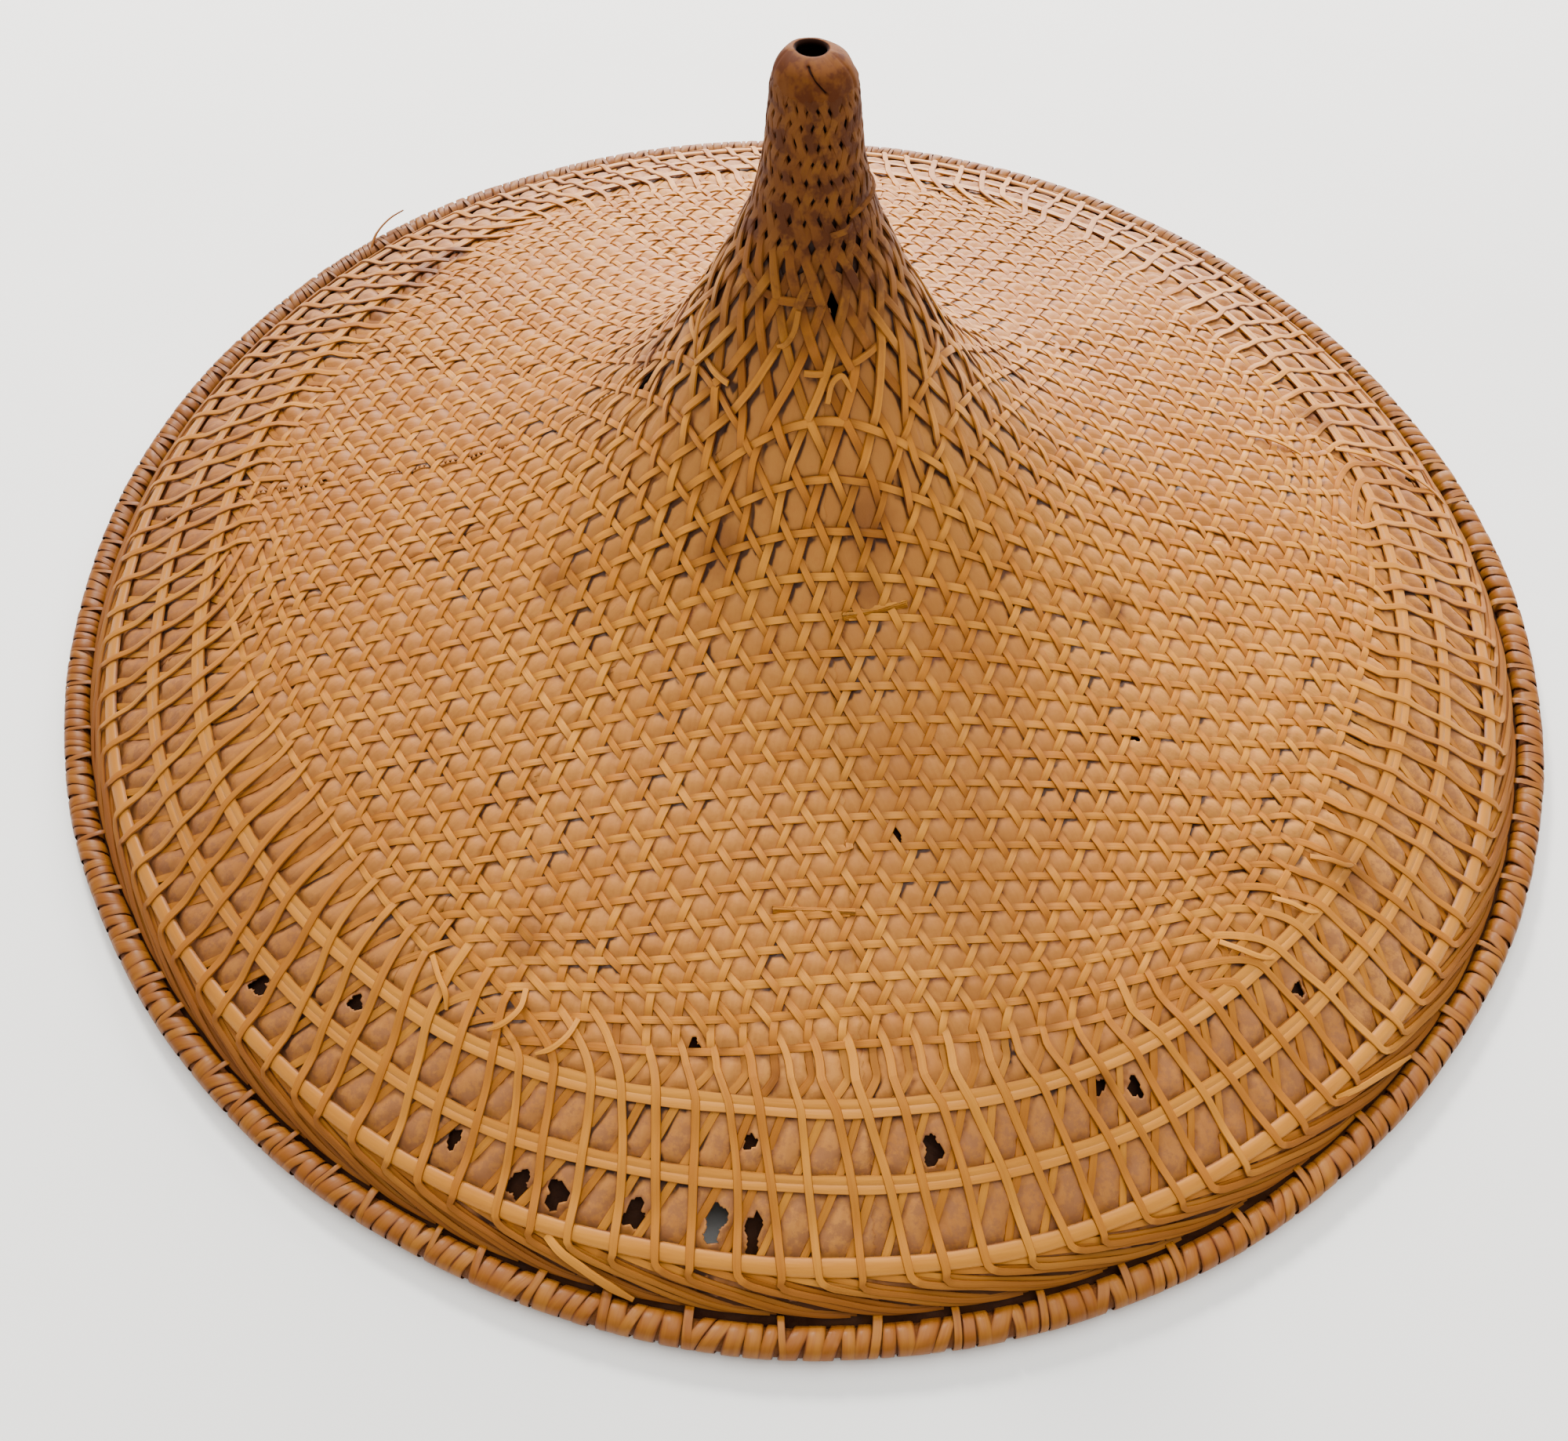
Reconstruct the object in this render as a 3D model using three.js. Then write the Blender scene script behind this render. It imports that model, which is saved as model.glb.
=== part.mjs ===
// Rattan hat with a tall spire: a weave of split rattan over a leaf lining, three hoops round its
// shoulder, a plaited edge, a bound rim and a smooth cap with a hole at the spire's tip. The weave
// changes from zone to zone: close on the spire, opening in the flare, hexagonal on the field and
// hooped on the shoulder.
// Millimetres, +Z up. The origin is on the surface that the hat rests on, in the middle of its rim.

import * as THREE from 'three';

// Driving dimensions
const RIM_RADIUS = 215;
const HAT_HEIGHT = 181.5;
const WEAVE_THICKNESS = 1.6;
const LINING_THICKNESS = 1.0;
const LAYER_GAP = 0.3;
const ROUND_STEPS = 60;
const CAP_STEPS = 30;

// How far the spire's tip stands to the left of the rim's middle
const SPIRE_LEAN = 8.9;

// Outer face of the weave, from the spire's top down to the rim
const WEAVE_PROFILE = [
  { at: 'spire top', radius: 8.5, height: 176 },
  { at: 'spire neck', radius: 9.5, height: 170 },
  { at: 'spire upper', radius: 11.2, height: 158 },
  { at: 'spire middle', radius: 14.9, height: 145 },
  { at: 'spire lower', radius: 19.6, height: 133.5 },
  { at: 'spire foot', radius: 26.2, height: 120 },
  { at: 'flare upper', radius: 34.6, height: 105.5 },
  { at: 'flare middle', radius: 46, height: 89 },
  { at: 'flare lower', radius: 63, height: 72.5 },
  { at: 'field inner', radius: 87, height: 58.5 },
  { at: 'field middle', radius: 118, height: 46.5 },
  { at: 'field outer', radius: 150, height: 36.3 },
  { at: 'shoulder top', radius: 168, height: 29.8 },
  { at: 'shoulder middle', radius: 182, height: 22.6 },
  { at: 'shoulder foot', radius: 197, height: 13.9 },
  { at: 'edge', radius: 206.6, height: 7.7 },
];

const WEAVE_ZONES = [
  { name: 'spire_weave', from: 'spire top', to: 'flare upper' },
  { name: 'flare_weave', from: 'flare upper', to: 'field inner' },
  { name: 'field_weave', from: 'field inner', to: 'shoulder top' },
  { name: 'shoulder_weave', from: 'shoulder top', to: 'edge' },
];

// The lining starts where the weave opens out of the spire
const LINING = { from: 'spire lower', to: 'edge' };

// Radius of each hoop's middle line round the hat, in even steps of angle. It isn't quite a circle:
// the straight rows of the weave end further out on the left front than at the back
const HOOP_COURSE = [
  { angle: 0, upper: 167.3, middle: 180.2, lower: 195.2 },
  { angle: 30, upper: 167.3, middle: 181.0, lower: 196.3 },
  { angle: 60, upper: 168.8, middle: 182.8, lower: 197.8 },
  { angle: 90, upper: 166.0, middle: 181.7, lower: 197.8 },
  { angle: 120, upper: 166.0, middle: 181.0, lower: 197.4 },
  { angle: 150, upper: 164.5, middle: 180.0, lower: 196.7 },
  { angle: 180, upper: 166.6, middle: 182.3, lower: 197.4 },
  { angle: 210, upper: 172.6, middle: 186.0, lower: 199.0 },
  { angle: 240, upper: 172.0, middle: 185.3, lower: 198.7 },
  { angle: 270, upper: 166.8, middle: 181.7, lower: 197.4 },
  { angle: 300, upper: 168.1, middle: 182.8, lower: 197.8 },
  { angle: 330, upper: 168.3, middle: 182.5, lower: 197.8 },
];

const HOOPS = [
  { name: 'upper_hoop', course: 'upper', width: 4.4, thickness: 1.2 },
  { name: 'middle_hoop', course: 'middle', width: 4.2, thickness: 1.2 },
  { name: 'lower_hoop', course: 'lower', width: 4.6, thickness: 2.4 },
];
const HOOP_GAP = 0.4;

const PLAIT = { innerRadius: 202.6, outerRadius: 206.4, thickness: 1.9 };

const RIM = { width: 7.8, height: 7.6, sides: 8 };

// Outside and inside of the cap's wall, from its open lower edge up to the hole in its top
const CAP_OUTSIDE = [
  { radius: 8.3, height: 176.3 },
  { radius: 7.8, height: 178.4 },
  { radius: 6.7, height: 180.2 },
  { radius: 4.9, height: HAT_HEIGHT },
];
const CAP_INSIDE = [
  { radius: 3.3, height: 181.2 },
  { radius: 3.5, height: 180 },
  { radius: 5.7, height: 178.4 },
  { radius: 6.7, height: 176.3 },
];

// Shallow bulges and dents of the worn weave: middle, reach and height of each
const DENTS = [
  { at: 'groove in front of the spire', x: 12, y: -54, reach: 16, height: -1.6 },
  { at: 'raised rows left of the groove', x: -46, y: -36, reach: 20, height: 1.4 },
  { at: 'sunk field at the left', x: -104, y: 22, reach: 34, height: -1.3 },
  { at: 'full field at the front', x: -22, y: -118, reach: 38, height: 1.3 },
  { at: 'sunk field at the right', x: 108, y: -44, reach: 34, height: -1.2 },
  { at: 'full field at the back right', x: 74, y: 92, reach: 34, height: 1.2 },
];

const FULL_TURN = 2 * Math.PI;

function layerMaterial(color, roughness) {
  return new THREE.MeshStandardMaterial({ color, roughness, metalness: 0 });
}

const MATERIALS = {
  weave: layerMaterial(0xb07a3a, 0.45),
  leaf: layerMaterial(0xa98a5c, 0.8),
  hoop: layerMaterial(0xc08a44, 0.4),
  plait: layerMaterial(0x9c6a30, 0.5),
  binding: layerMaterial(0xb98235, 0.4),
  cap: layerMaterial(0xa8742f, 0.4),
};

// Height of the weave's outer face at a radius
function weaveHeight(radius) {
  const last = WEAVE_PROFILE.length - 1;
  let row = 1;
  while (row < last && radius > WEAVE_PROFILE[row].radius) row += 1;
  const inner = WEAVE_PROFILE[row - 1];
  const outer = WEAVE_PROFILE[row];
  const share = (radius - inner.radius) / (outer.radius - inner.radius);
  return inner.height + share * (outer.height - inner.height);
}

// The stretch of the profile between two of its rows, as points moved inwards by a depth square to
// the face. Both ends are drawn back along the face, so that neighbouring stretches keep a gap.
function profileAtDepth(stretch, depth) {
  const first = WEAVE_PROFILE.findIndex((row) => row.at === stretch.from);
  const last = WEAVE_PROFILE.findIndex((row) => row.at === stretch.to);
  const points = [];
  for (let i = first; i <= last; i += 1) {
    const row = WEAVE_PROFILE[i];
    const before = WEAVE_PROFILE[Math.max(i - 1, 0)];
    const after = WEAVE_PROFILE[Math.min(i + 1, WEAVE_PROFILE.length - 1)];
    const run = new THREE.Vector2(after.radius - before.radius, after.height - before.height).normalize();
    const point = new THREE.Vector2(row.radius + run.y * depth, row.height - run.x * depth);
    if (i === first) point.addScaledVector(run, LAYER_GAP / 2);
    if (i === last) point.addScaledVector(run, -LAYER_GAP / 2);
    points.push(point);
  }
  return points;
}

// A closed ring of revolution about +Z. Its section runs once round its own outline:
// up the outside, then down the inside
function revolved(section, steps) {
  const closed = [...section, section[0].clone()];
  const geometry = new THREE.LatheGeometry(closed, steps);
  geometry.rotateX(Math.PI / 2);
  return geometry;
}

function moveVertices(geometry, move) {
  const position = geometry.getAttribute('position');
  const point = new THREE.Vector3();
  for (let i = 0; i < position.count; i += 1) {
    point.fromBufferAttribute(position, i);
    move(point);
    position.setXYZ(i, point.x, point.y, point.z);
  }
  position.needsUpdate = true;
  geometry.computeVertexNormals();
  return geometry;
}

function unevenness(x, y) {
  return DENTS.reduce((sum, dent) => {
    const away = Math.hypot(x - dent.x, y - dent.y) / dent.reach;
    return sum + dent.height * Math.exp(-away * away);
  }, 0);
}

// The hat isn't a true turned shape: its spire leans, and its field has dents
function worn(geometry) {
  return moveVertices(geometry, (point) => {
    const lift = unevenness(point.x, point.y);
    point.x -= SPIRE_LEAN * (point.z / HAT_HEIGHT);
    point.z += lift;
  });
}

// Radius of a hoop's middle line at an angle in radians, smoothed between the rows of its course
function courseRadius(course, angle) {
  const turn = ((angle / FULL_TURN) % 1 + 1) % 1;
  const place = turn * HOOP_COURSE.length;
  const row = Math.floor(place) % HOOP_COURSE.length;
  const next = (row + 1) % HOOP_COURSE.length;
  const share = (1 - Math.cos(Math.PI * (place - Math.floor(place)))) / 2;
  return HOOP_COURSE[row][course] * (1 - share) + HOOP_COURSE[next][course] * share;
}

function shell(stretch, depth, thickness) {
  const outside = profileAtDepth(stretch, depth).reverse();
  const inside = profileAtDepth(stretch, depth + thickness);
  return worn(revolved([...outside, ...inside], ROUND_STEPS));
}

function weaveZone(zone) {
  return shell(zone, 0, WEAVE_THICKNESS);
}

function leafLining() {
  return shell(LINING, WEAVE_THICKNESS + LAYER_GAP, LINING_THICKNESS);
}

// A ring that lies on the weave: its section is given by radius and by height over the weave
function ringOnWeave(section, drift) {
  const points = section.map(([radius, over]) => new THREE.Vector2(radius, over));
  return moveVertices(revolved(points, ROUND_STEPS), (point) => {
    const radius = Math.hypot(point.x, point.y);
    const angle = Math.atan2(point.y, point.x);
    const moved = radius + drift(angle);
    point.x = moved * Math.cos(angle);
    point.y = moved * Math.sin(angle);
    point.z += weaveHeight(moved);
  });
}

function flatSection(inner, outer, foot, top) {
  return [[outer, foot], [outer, top], [inner, top], [inner, foot]];
}

function hoop({ course, width, thickness }) {
  const middle = HOOP_COURSE[0][course];
  const section = flatSection(middle - width / 2, middle + width / 2, HOOP_GAP, HOOP_GAP + thickness);
  return worn(ringOnWeave(section, (angle) => courseRadius(course, angle) - middle));
}

function edgePlait() {
  const { innerRadius, outerRadius, thickness } = PLAIT;
  const section = flatSection(innerRadius, outerRadius, HOOP_GAP, HOOP_GAP + thickness);
  return worn(ringOnWeave(section, () => 0));
}

// An eight-sided ring with one side flat on the surface below it
function rimBinding() {
  const middle = new THREE.Vector2(RIM_RADIUS - RIM.width / 2, RIM.height / 2);
  const corner = 1 / Math.cos(Math.PI / RIM.sides);
  const section = Array.from({ length: RIM.sides }, (_, i) => {
    const turn = (i + 0.5) * (FULL_TURN / RIM.sides);
    const reach = new THREE.Vector2(
      (RIM.width / 2) * corner * Math.cos(turn),
      (RIM.height / 2) * corner * Math.sin(turn),
    );
    return reach.add(middle);
  });
  return revolved(section, ROUND_STEPS);
}

function spireCap() {
  const section = [...CAP_OUTSIDE, ...CAP_INSIDE].map((row) => new THREE.Vector2(row.radius, row.height));
  return worn(revolved(section, CAP_STEPS));
}

function named(name, geometry, material) {
  const mesh = new THREE.Mesh(geometry, material.clone());
  mesh.name = name;
  return mesh;
}

const hat = new THREE.Group();
WEAVE_ZONES.forEach((zone) => hat.add(named(zone.name, weaveZone(zone), MATERIALS.weave)));
hat.add(named('leaf_lining', leafLining(), MATERIALS.leaf));
HOOPS.forEach((row) => hat.add(named(row.name, hoop(row), MATERIALS.hoop)));
hat.add(named('edge_plait', edgePlait(), MATERIALS.plait));
hat.add(named('rim_binding', rimBinding(), MATERIALS.binding));
hat.add(named('spire_cap', spireCap(), MATERIALS.cap));

export default hat;
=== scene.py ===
# Rattan hat with a tall spire. Split rattan strands run three ways over a lining of dried leaves.
# On the field they lie in straight rows and leave six-sided eyes, through which the leaves bulge.
# Near the middle they climb the spire as steep helices, and near the rim they bend into two hands,
# cross over and under three hoops, and turn aside into a plaited edge. A splint winds round the rim.
# Lengths are in metres. The origin is on the surface that the hat rests on, in the rim's middle.

import functools
import math

import bmesh
import bpy
import numpy as np
from mathutils import Matrix, Vector
from mathutils.kdtree import KDTree


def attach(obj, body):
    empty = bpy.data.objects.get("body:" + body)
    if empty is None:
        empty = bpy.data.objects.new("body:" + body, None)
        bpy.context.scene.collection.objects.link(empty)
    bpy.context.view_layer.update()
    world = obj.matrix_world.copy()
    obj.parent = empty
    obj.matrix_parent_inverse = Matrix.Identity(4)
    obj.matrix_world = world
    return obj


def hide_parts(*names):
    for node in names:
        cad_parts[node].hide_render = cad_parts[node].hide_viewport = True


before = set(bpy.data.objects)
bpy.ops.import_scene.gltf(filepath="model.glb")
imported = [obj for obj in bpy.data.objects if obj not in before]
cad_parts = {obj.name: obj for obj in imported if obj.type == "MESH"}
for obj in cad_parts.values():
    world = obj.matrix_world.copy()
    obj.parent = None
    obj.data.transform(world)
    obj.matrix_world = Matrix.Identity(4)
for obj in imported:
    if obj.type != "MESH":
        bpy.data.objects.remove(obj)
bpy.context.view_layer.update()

bl_info = {
    "name": "Woven rattan hat",
    "version": (1, 0, 0),
    "blender": (4, 5, 0),
    "location": "View3D > Sidebar > Rattan Hat",
    "description": "Builds a spired hat of split rattan over a leaf lining",
    "category": "Add Mesh",
}

# Main form, as in the solids
RIM_RADIUS = 0.215
HAT_HEIGHT = 0.1815
SPIRE_LEAN = 0.0089

# Outer face of the weave: place, radius, height
WEAVE_PROFILE = (
    ("under the cap", 0.0078, 0.1788),
    ("spire top", 0.0094, 0.1760),
    ("spire neck", 0.0103, 0.1700),
    ("spire upper", 0.0117, 0.1580),
    ("spire middle", 0.0149, 0.1450),
    ("spire lower", 0.0196, 0.1335),
    ("spire foot", 0.0262, 0.1200),
    ("flare upper", 0.0346, 0.1055),
    ("flare middle", 0.0460, 0.0890),
    ("flare lower", 0.0630, 0.0725),
    ("field inner", 0.0870, 0.0585),
    ("field middle", 0.1180, 0.0465),
    ("field outer", 0.1500, 0.0363),
    ("shoulder top", 0.1680, 0.0298),
    ("shoulder middle", 0.1820, 0.0226),
    ("shoulder foot", 0.1970, 0.0139),
    ("edge", 0.2066, 0.0077),
    ("below the binding", 0.2110, 0.0052),
)

# Radius of each hoop's middle line in twelve even steps of angle: upper, middle, lower
HOOP_COURSE = (
    (0.1673, 0.1802, 0.1952),
    (0.1673, 0.1810, 0.1963),
    (0.1688, 0.1828, 0.1978),
    (0.1660, 0.1817, 0.1978),
    (0.1660, 0.1810, 0.1974),
    (0.1645, 0.1800, 0.1967),
    (0.1666, 0.1823, 0.1974),
    (0.1726, 0.1860, 0.1990),
    (0.1720, 0.1853, 0.1987),
    (0.1668, 0.1817, 0.1974),
    (0.1681, 0.1828, 0.1978),
    (0.1683, 0.1825, 0.1978),
)

# Shallow bulges and dents of the worn weave: x, y, reach, height
DENTS = (
    (0.012, -0.054, 0.016, -0.0016),
    (-0.046, -0.036, 0.020, 0.0014),
    (-0.104, 0.022, 0.034, -0.0013),
    (-0.022, -0.118, 0.038, 0.0013),
    (0.108, -0.044, 0.034, -0.0012),
    (0.074, 0.092, 0.034, 0.0012),
)

# The three ways that the rows run, in degrees
ROW_DIRECTIONS = (8.0, 128.0, 248.0)
ROW_SPACING = 0.00714
ROWS_EACH_SIDE = 22
ENDS_PER_HAND = 6 * ROWS_EACH_SIDE
CELL = 2 * math.pi / ENDS_PER_HAND

# The rows nearest the middle climb the spire, in shorter mesh steps than the rest
CLIMBING_EACH_SIDE = 4
CLIMBING_STEP = 0.80
SPIRE_LANE = math.pi / (3 * CLIMBING_EACH_SIDE)

# Tangent of the climbing strands' turn round the spire, at its top and where the flare ends
SPIRE_STEEPNESS = 0.36
FLARE_STEEPNESS = 0.40

# There is a family of strands for each way, and one more for the short rows round the spire's foot
FOOT_FAMILY = len(ROW_DIRECTIONS)

# Heights over the weave's outer face: the weave's middle, and how far a strand lies over or under it
# at a crossing, on the field and on the spire
WEAVE_MIDDLE = -0.00080
CROSSING_LIFT = 0.00034
SPIRE_LIFT = 0.00012

# On the shoulder: the hoops' underside, a right-hand strand below a left-hand one, and a left-hand
# strand half way between two hoops
HOOP_FOOT = -0.00020
UNDER_LEFT = -0.00095
LEFT_SAG = -0.00006

# Top of each hoop over the weave's face, upper to lower
HOOP_TOPS = (0.00028, 0.00028, 0.00115)

# Room between a hoop and the strands that pass over and under it
OVER_HOOP_GAP = 0.00004
UNDER_HOOP_GAP = 0.00012

# Where the weave changes from one kind of crossing to the next
SPIRE_END = 0.0170
FLARE_END = 4.5 * ROW_SPACING
SHOULDER_START = 0.1605

# Width of a strand from the spire to the edge: radius, share of its full width
WIDTH_COURSE = (
    (0.0080, 0.60), (0.0095, 0.72), (0.0105, 0.79), (0.0120, 0.90), (0.0145, 1.06), (0.0175, 1.06),
    (0.0250, 0.96), (0.0350, 0.92), (0.0500, 0.88), (0.0900, 0.86), (0.1500, 0.86), (0.1650, 0.90),
    (0.1960, 0.90), (0.2000, 0.80), (0.2030, 0.64), (0.2065, 0.56),
)

# How far out the climbing strands begin to draw together, and where they are evenly spaced
CLIMB_START = 0.22 * RIM_RADIUS
CLIMB_SET = 0.125 * RIM_RADIUS

# How far out the straight rows begin to bend into the shoulder's lanes
BEND_START = 0.64 * RIM_RADIUS

# Angle from a row's direction to the first lane of each hand
FIRST_TURN = {-1: math.radians(0.5), 1: math.radians(0.5) - CELL}

# Short rows round the spire's foot: radius, angles of their ends in degrees
FOOT_ROWS = (
    (0.0195, 205, 280), (0.0262, 268, 322), (0.0225, 20, 115), (0.0300, 176, 232), (0.0285, 118, 165),
    (0.0318, 330, 372),
)

# How the strands of each hand lie across the shoulder, in cells, at the row before the upper hoop
# and at each of the three hoops
HOOP_STOPS = (0.0, 1.0, 2.0, 3.0)
LEFT_DRIFT = (-0.37, 0.0, 0.35, 0.58)
RIGHT_DRIFT = (1.49, 0.69, -0.06, -0.88)

# Turned ends in the plaited edge: share of the way from the lower hoop to the binding, cells, height
LEFT_TAIL = (
    (0.00, 0.58, 0.00160),
    (0.20, 0.62, 0.00145),
    (0.30, 0.69, 0.00110),
    (0.38, 0.98, 0.00085),
    (0.44, 1.35, 0.00060),
    (0.52, 1.90, 0.00025),
    (0.62, 2.45, -0.00005),
    (0.72, 3.00, -0.00045),
    (0.79, 3.50, -0.00090),
    (0.83, 4.00, -0.00140),
    (0.84, 4.60, -0.00200),
)
RIGHT_TAIL = (
    (0.00, -0.88, -0.00058),
    (0.05, -0.80, -0.00058),
    (0.12, -0.50, -0.00050),
    (0.19, 0.00, -0.00010),
    (0.27, 0.60, 0.00010),
    (0.37, 1.30, 0.00000),
    (0.47, 2.00, -0.00030),
    (0.58, 2.70, -0.00070),
    (0.68, 3.25, -0.00100),
    (0.76, 3.75, -0.00140),
    (0.80, 4.25, -0.00185),
    (0.82, 4.75, -0.00240),
)

# Radii between which the plait lies, and the one at which a turned end's bends are measured
PLAIT_START = 0.2005
PLAIT_EDGE = 0.2085
TAIL_RADIUS = 0.2
TAIL_STEPS = 60

# Cells by which a strand strays from its even place at the row before the hoops and at each hoop
STRAY = 0.09
STRAY_WAVES = 91.7
STRAY_PHASES = np.array([0.0, 1.3, 2.9, 4.1])

# Cells that a turned end moves towards its neighbour, so that they lie in pairs with a slot between,
# and the share of its way over which it does so
PAIRING = 0.24
PAIRING_START = 0.15
PAIRING_REACH = 0.30


def smoothstep(value):
    held = np.clip(value, 0.0, 1.0)
    return held * held * (3.0 - 2.0 * held)


def running(steps):
    """The way covered up to each point, from the steps between them"""
    return np.concatenate([[0.0], np.cumsum(steps)])


def through(knots, values, places):
    """A smooth curve through values at knots, read at places"""
    knots = np.asarray(knots, float)
    values = np.asarray(values, float)
    gap = np.diff(knots)
    rise = np.diff(values) / gap
    slope = np.empty_like(values)
    slope[1:-1] = (rise[:-1] * gap[1:] + rise[1:] * gap[:-1]) / (gap[1:] + gap[:-1])
    slope[0] = rise[0]
    slope[-1] = rise[-1]
    row = np.clip(np.searchsorted(knots, places, side="right") - 1, 0, len(gap) - 1)
    part = (places - knots[row]) / gap[row]
    inner = 2 * part ** 3 - 3 * part ** 2 + 1
    outer = 3 * part ** 2 - 2 * part ** 3
    leave = part ** 3 - 2 * part ** 2 + part
    arrive = part ** 3 - part ** 2
    ends = inner * values[row] + outer * values[row + 1]
    return ends + gap[row] * (leave * slope[row] + arrive * slope[row + 1])


class Profile:
    """The weave's outer face as a smooth curve, told by its length down from the cap"""

    def __init__(self, rows, samples=2400):
        radius = np.array([row[1] for row in rows])
        height = np.array([row[2] for row in rows])
        knots = running(np.hypot(np.diff(radius), np.diff(height)))
        fine = np.linspace(0.0, knots[-1], samples)
        self.radius = through(knots, radius, fine)
        self.height = through(knots, height, fine)
        self.length = running(np.hypot(np.diff(self.radius), np.diff(self.height)))
        self.out = -np.gradient(self.height, self.length)
        self.up = np.gradient(self.radius, self.length)

    def at_radius(self, radius):
        return np.interp(radius, self.radius, self.length)


PROFILE = Profile(WEAVE_PROFILE)


def unevenness(x, y):
    lift = np.zeros_like(x)
    for dent_x, dent_y, reach, height in DENTS:
        away = ((x - dent_x) ** 2 + (y - dent_y) ** 2) / reach ** 2
        lift = lift + height * np.exp(-away)
    return lift


def worn(points):
    """Dents the field and leans the spire, as in the solids"""
    x, y, z = points[..., 0], points[..., 1], points[..., 2]
    lift = unevenness(x, y)
    return np.stack([x - SPIRE_LEAN * z / HAT_HEIGHT, y, z + lift], axis=-1)


def straight_on_hat(length, angle, over=0.0):
    """Points over the weave's face before it is dented and leant"""
    radius = np.interp(length, PROFILE.length, PROFILE.radius)
    height = np.interp(length, PROFILE.length, PROFILE.height)
    radius = radius + over * np.interp(length, PROFILE.length, PROFILE.out)
    height = height + over * np.interp(length, PROFILE.length, PROFILE.up)
    return np.stack([radius * np.cos(angle), radius * np.sin(angle), height], axis=-1)


def outward(length, angle):
    out = np.interp(length, PROFILE.length, PROFILE.out)
    up = np.interp(length, PROFILE.length, PROFILE.up)
    normal = np.stack([out * np.cos(angle), out * np.sin(angle), up], axis=-1)
    return normal / np.linalg.norm(normal, axis=-1, keepdims=True)


def course(hoop, angle):
    """Radius of a hoop's middle line at an angle"""
    rows = np.array([row[hoop] for row in HOOP_COURSE])
    place = (np.asarray(angle) / (2 * math.pi)) % 1.0 * len(rows)
    row = np.floor(place).astype(int) % len(rows)
    part = (1 - np.cos(np.pi * (place - np.floor(place)))) / 2
    return rows[row] * (1 - part) + rows[(row + 1) % len(rows)] * part


class Strand:
    """One strand's route over the hat in even steps: its length down the profile and its angle. Its
    lane is its place round the spire, its hand the side that it leans to on the shoulder, and forced
    holds the heights of its turned end."""

    def __init__(self, family, lane, run, length, angle, hand, forced):
        self.family = family
        self.lane = lane
        self.run = run
        self.length = length
        self.angle = angle
        self.hand = hand
        self.forced = forced
        self.over = None

    def radius(self):
        return np.interp(self.length, PROFILE.length, PROFILE.radius)

    def points(self):
        return straight_on_hat(self.length, self.angle)


def even_steps(length, angle, step, extra=()):
    """Resamples a route in even steps along the surface, and with it any values that go with it"""
    points = straight_on_hat(length, angle)
    run = running(np.linalg.norm(np.diff(points, axis=0), axis=1))
    count = max(int(round(run[-1] / step)), 3)
    even = np.linspace(0.0, run[-1], count + 1)
    values = [np.interp(even, run, value) for value in (length, angle, *extra)]
    return even, values


def spire_twist(length):
    """Angle that a strand gains as it climbs from the flare's end"""
    share = smoothstep((PROFILE.radius - SPIRE_END) / (FLARE_END - SPIRE_END))
    gain = (SPIRE_STEEPNESS + share * (FLARE_STEEPNESS - SPIRE_STEEPNESS)) / PROFILE.radius
    total = running((gain[1:] + gain[:-1]) / 2 * np.diff(PROFILE.length))
    at_flare = np.interp(PROFILE.at_radius(FLARE_END), PROFILE.length, total)
    return at_flare - np.interp(length, PROFILE.length, total)


def tail_route(rows, hoop_radius, cell_zero, stray):
    """Radius, angle and height of a turned end, from the lower hoop to its tip"""
    share, cells, height = np.array(rows).T
    radius = hoop_radius + share * (PLAIT_EDGE - hoop_radius)
    towards = PAIRING if round(cell_zero / CELL) % 2 == 0 else -PAIRING
    paired = towards * smoothstep((share - PAIRING_START) / PAIRING_REACH)
    angle = cell_zero + (cells + stray + paired) * CELL
    run = running(np.hypot(np.diff(radius), np.diff(angle) * TAIL_RADIUS))
    fine = np.linspace(0.0, run[-1], TAIL_STEPS)
    return through(run, radius, fine), through(run, angle, fine), np.interp(fine, run, height)


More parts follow.
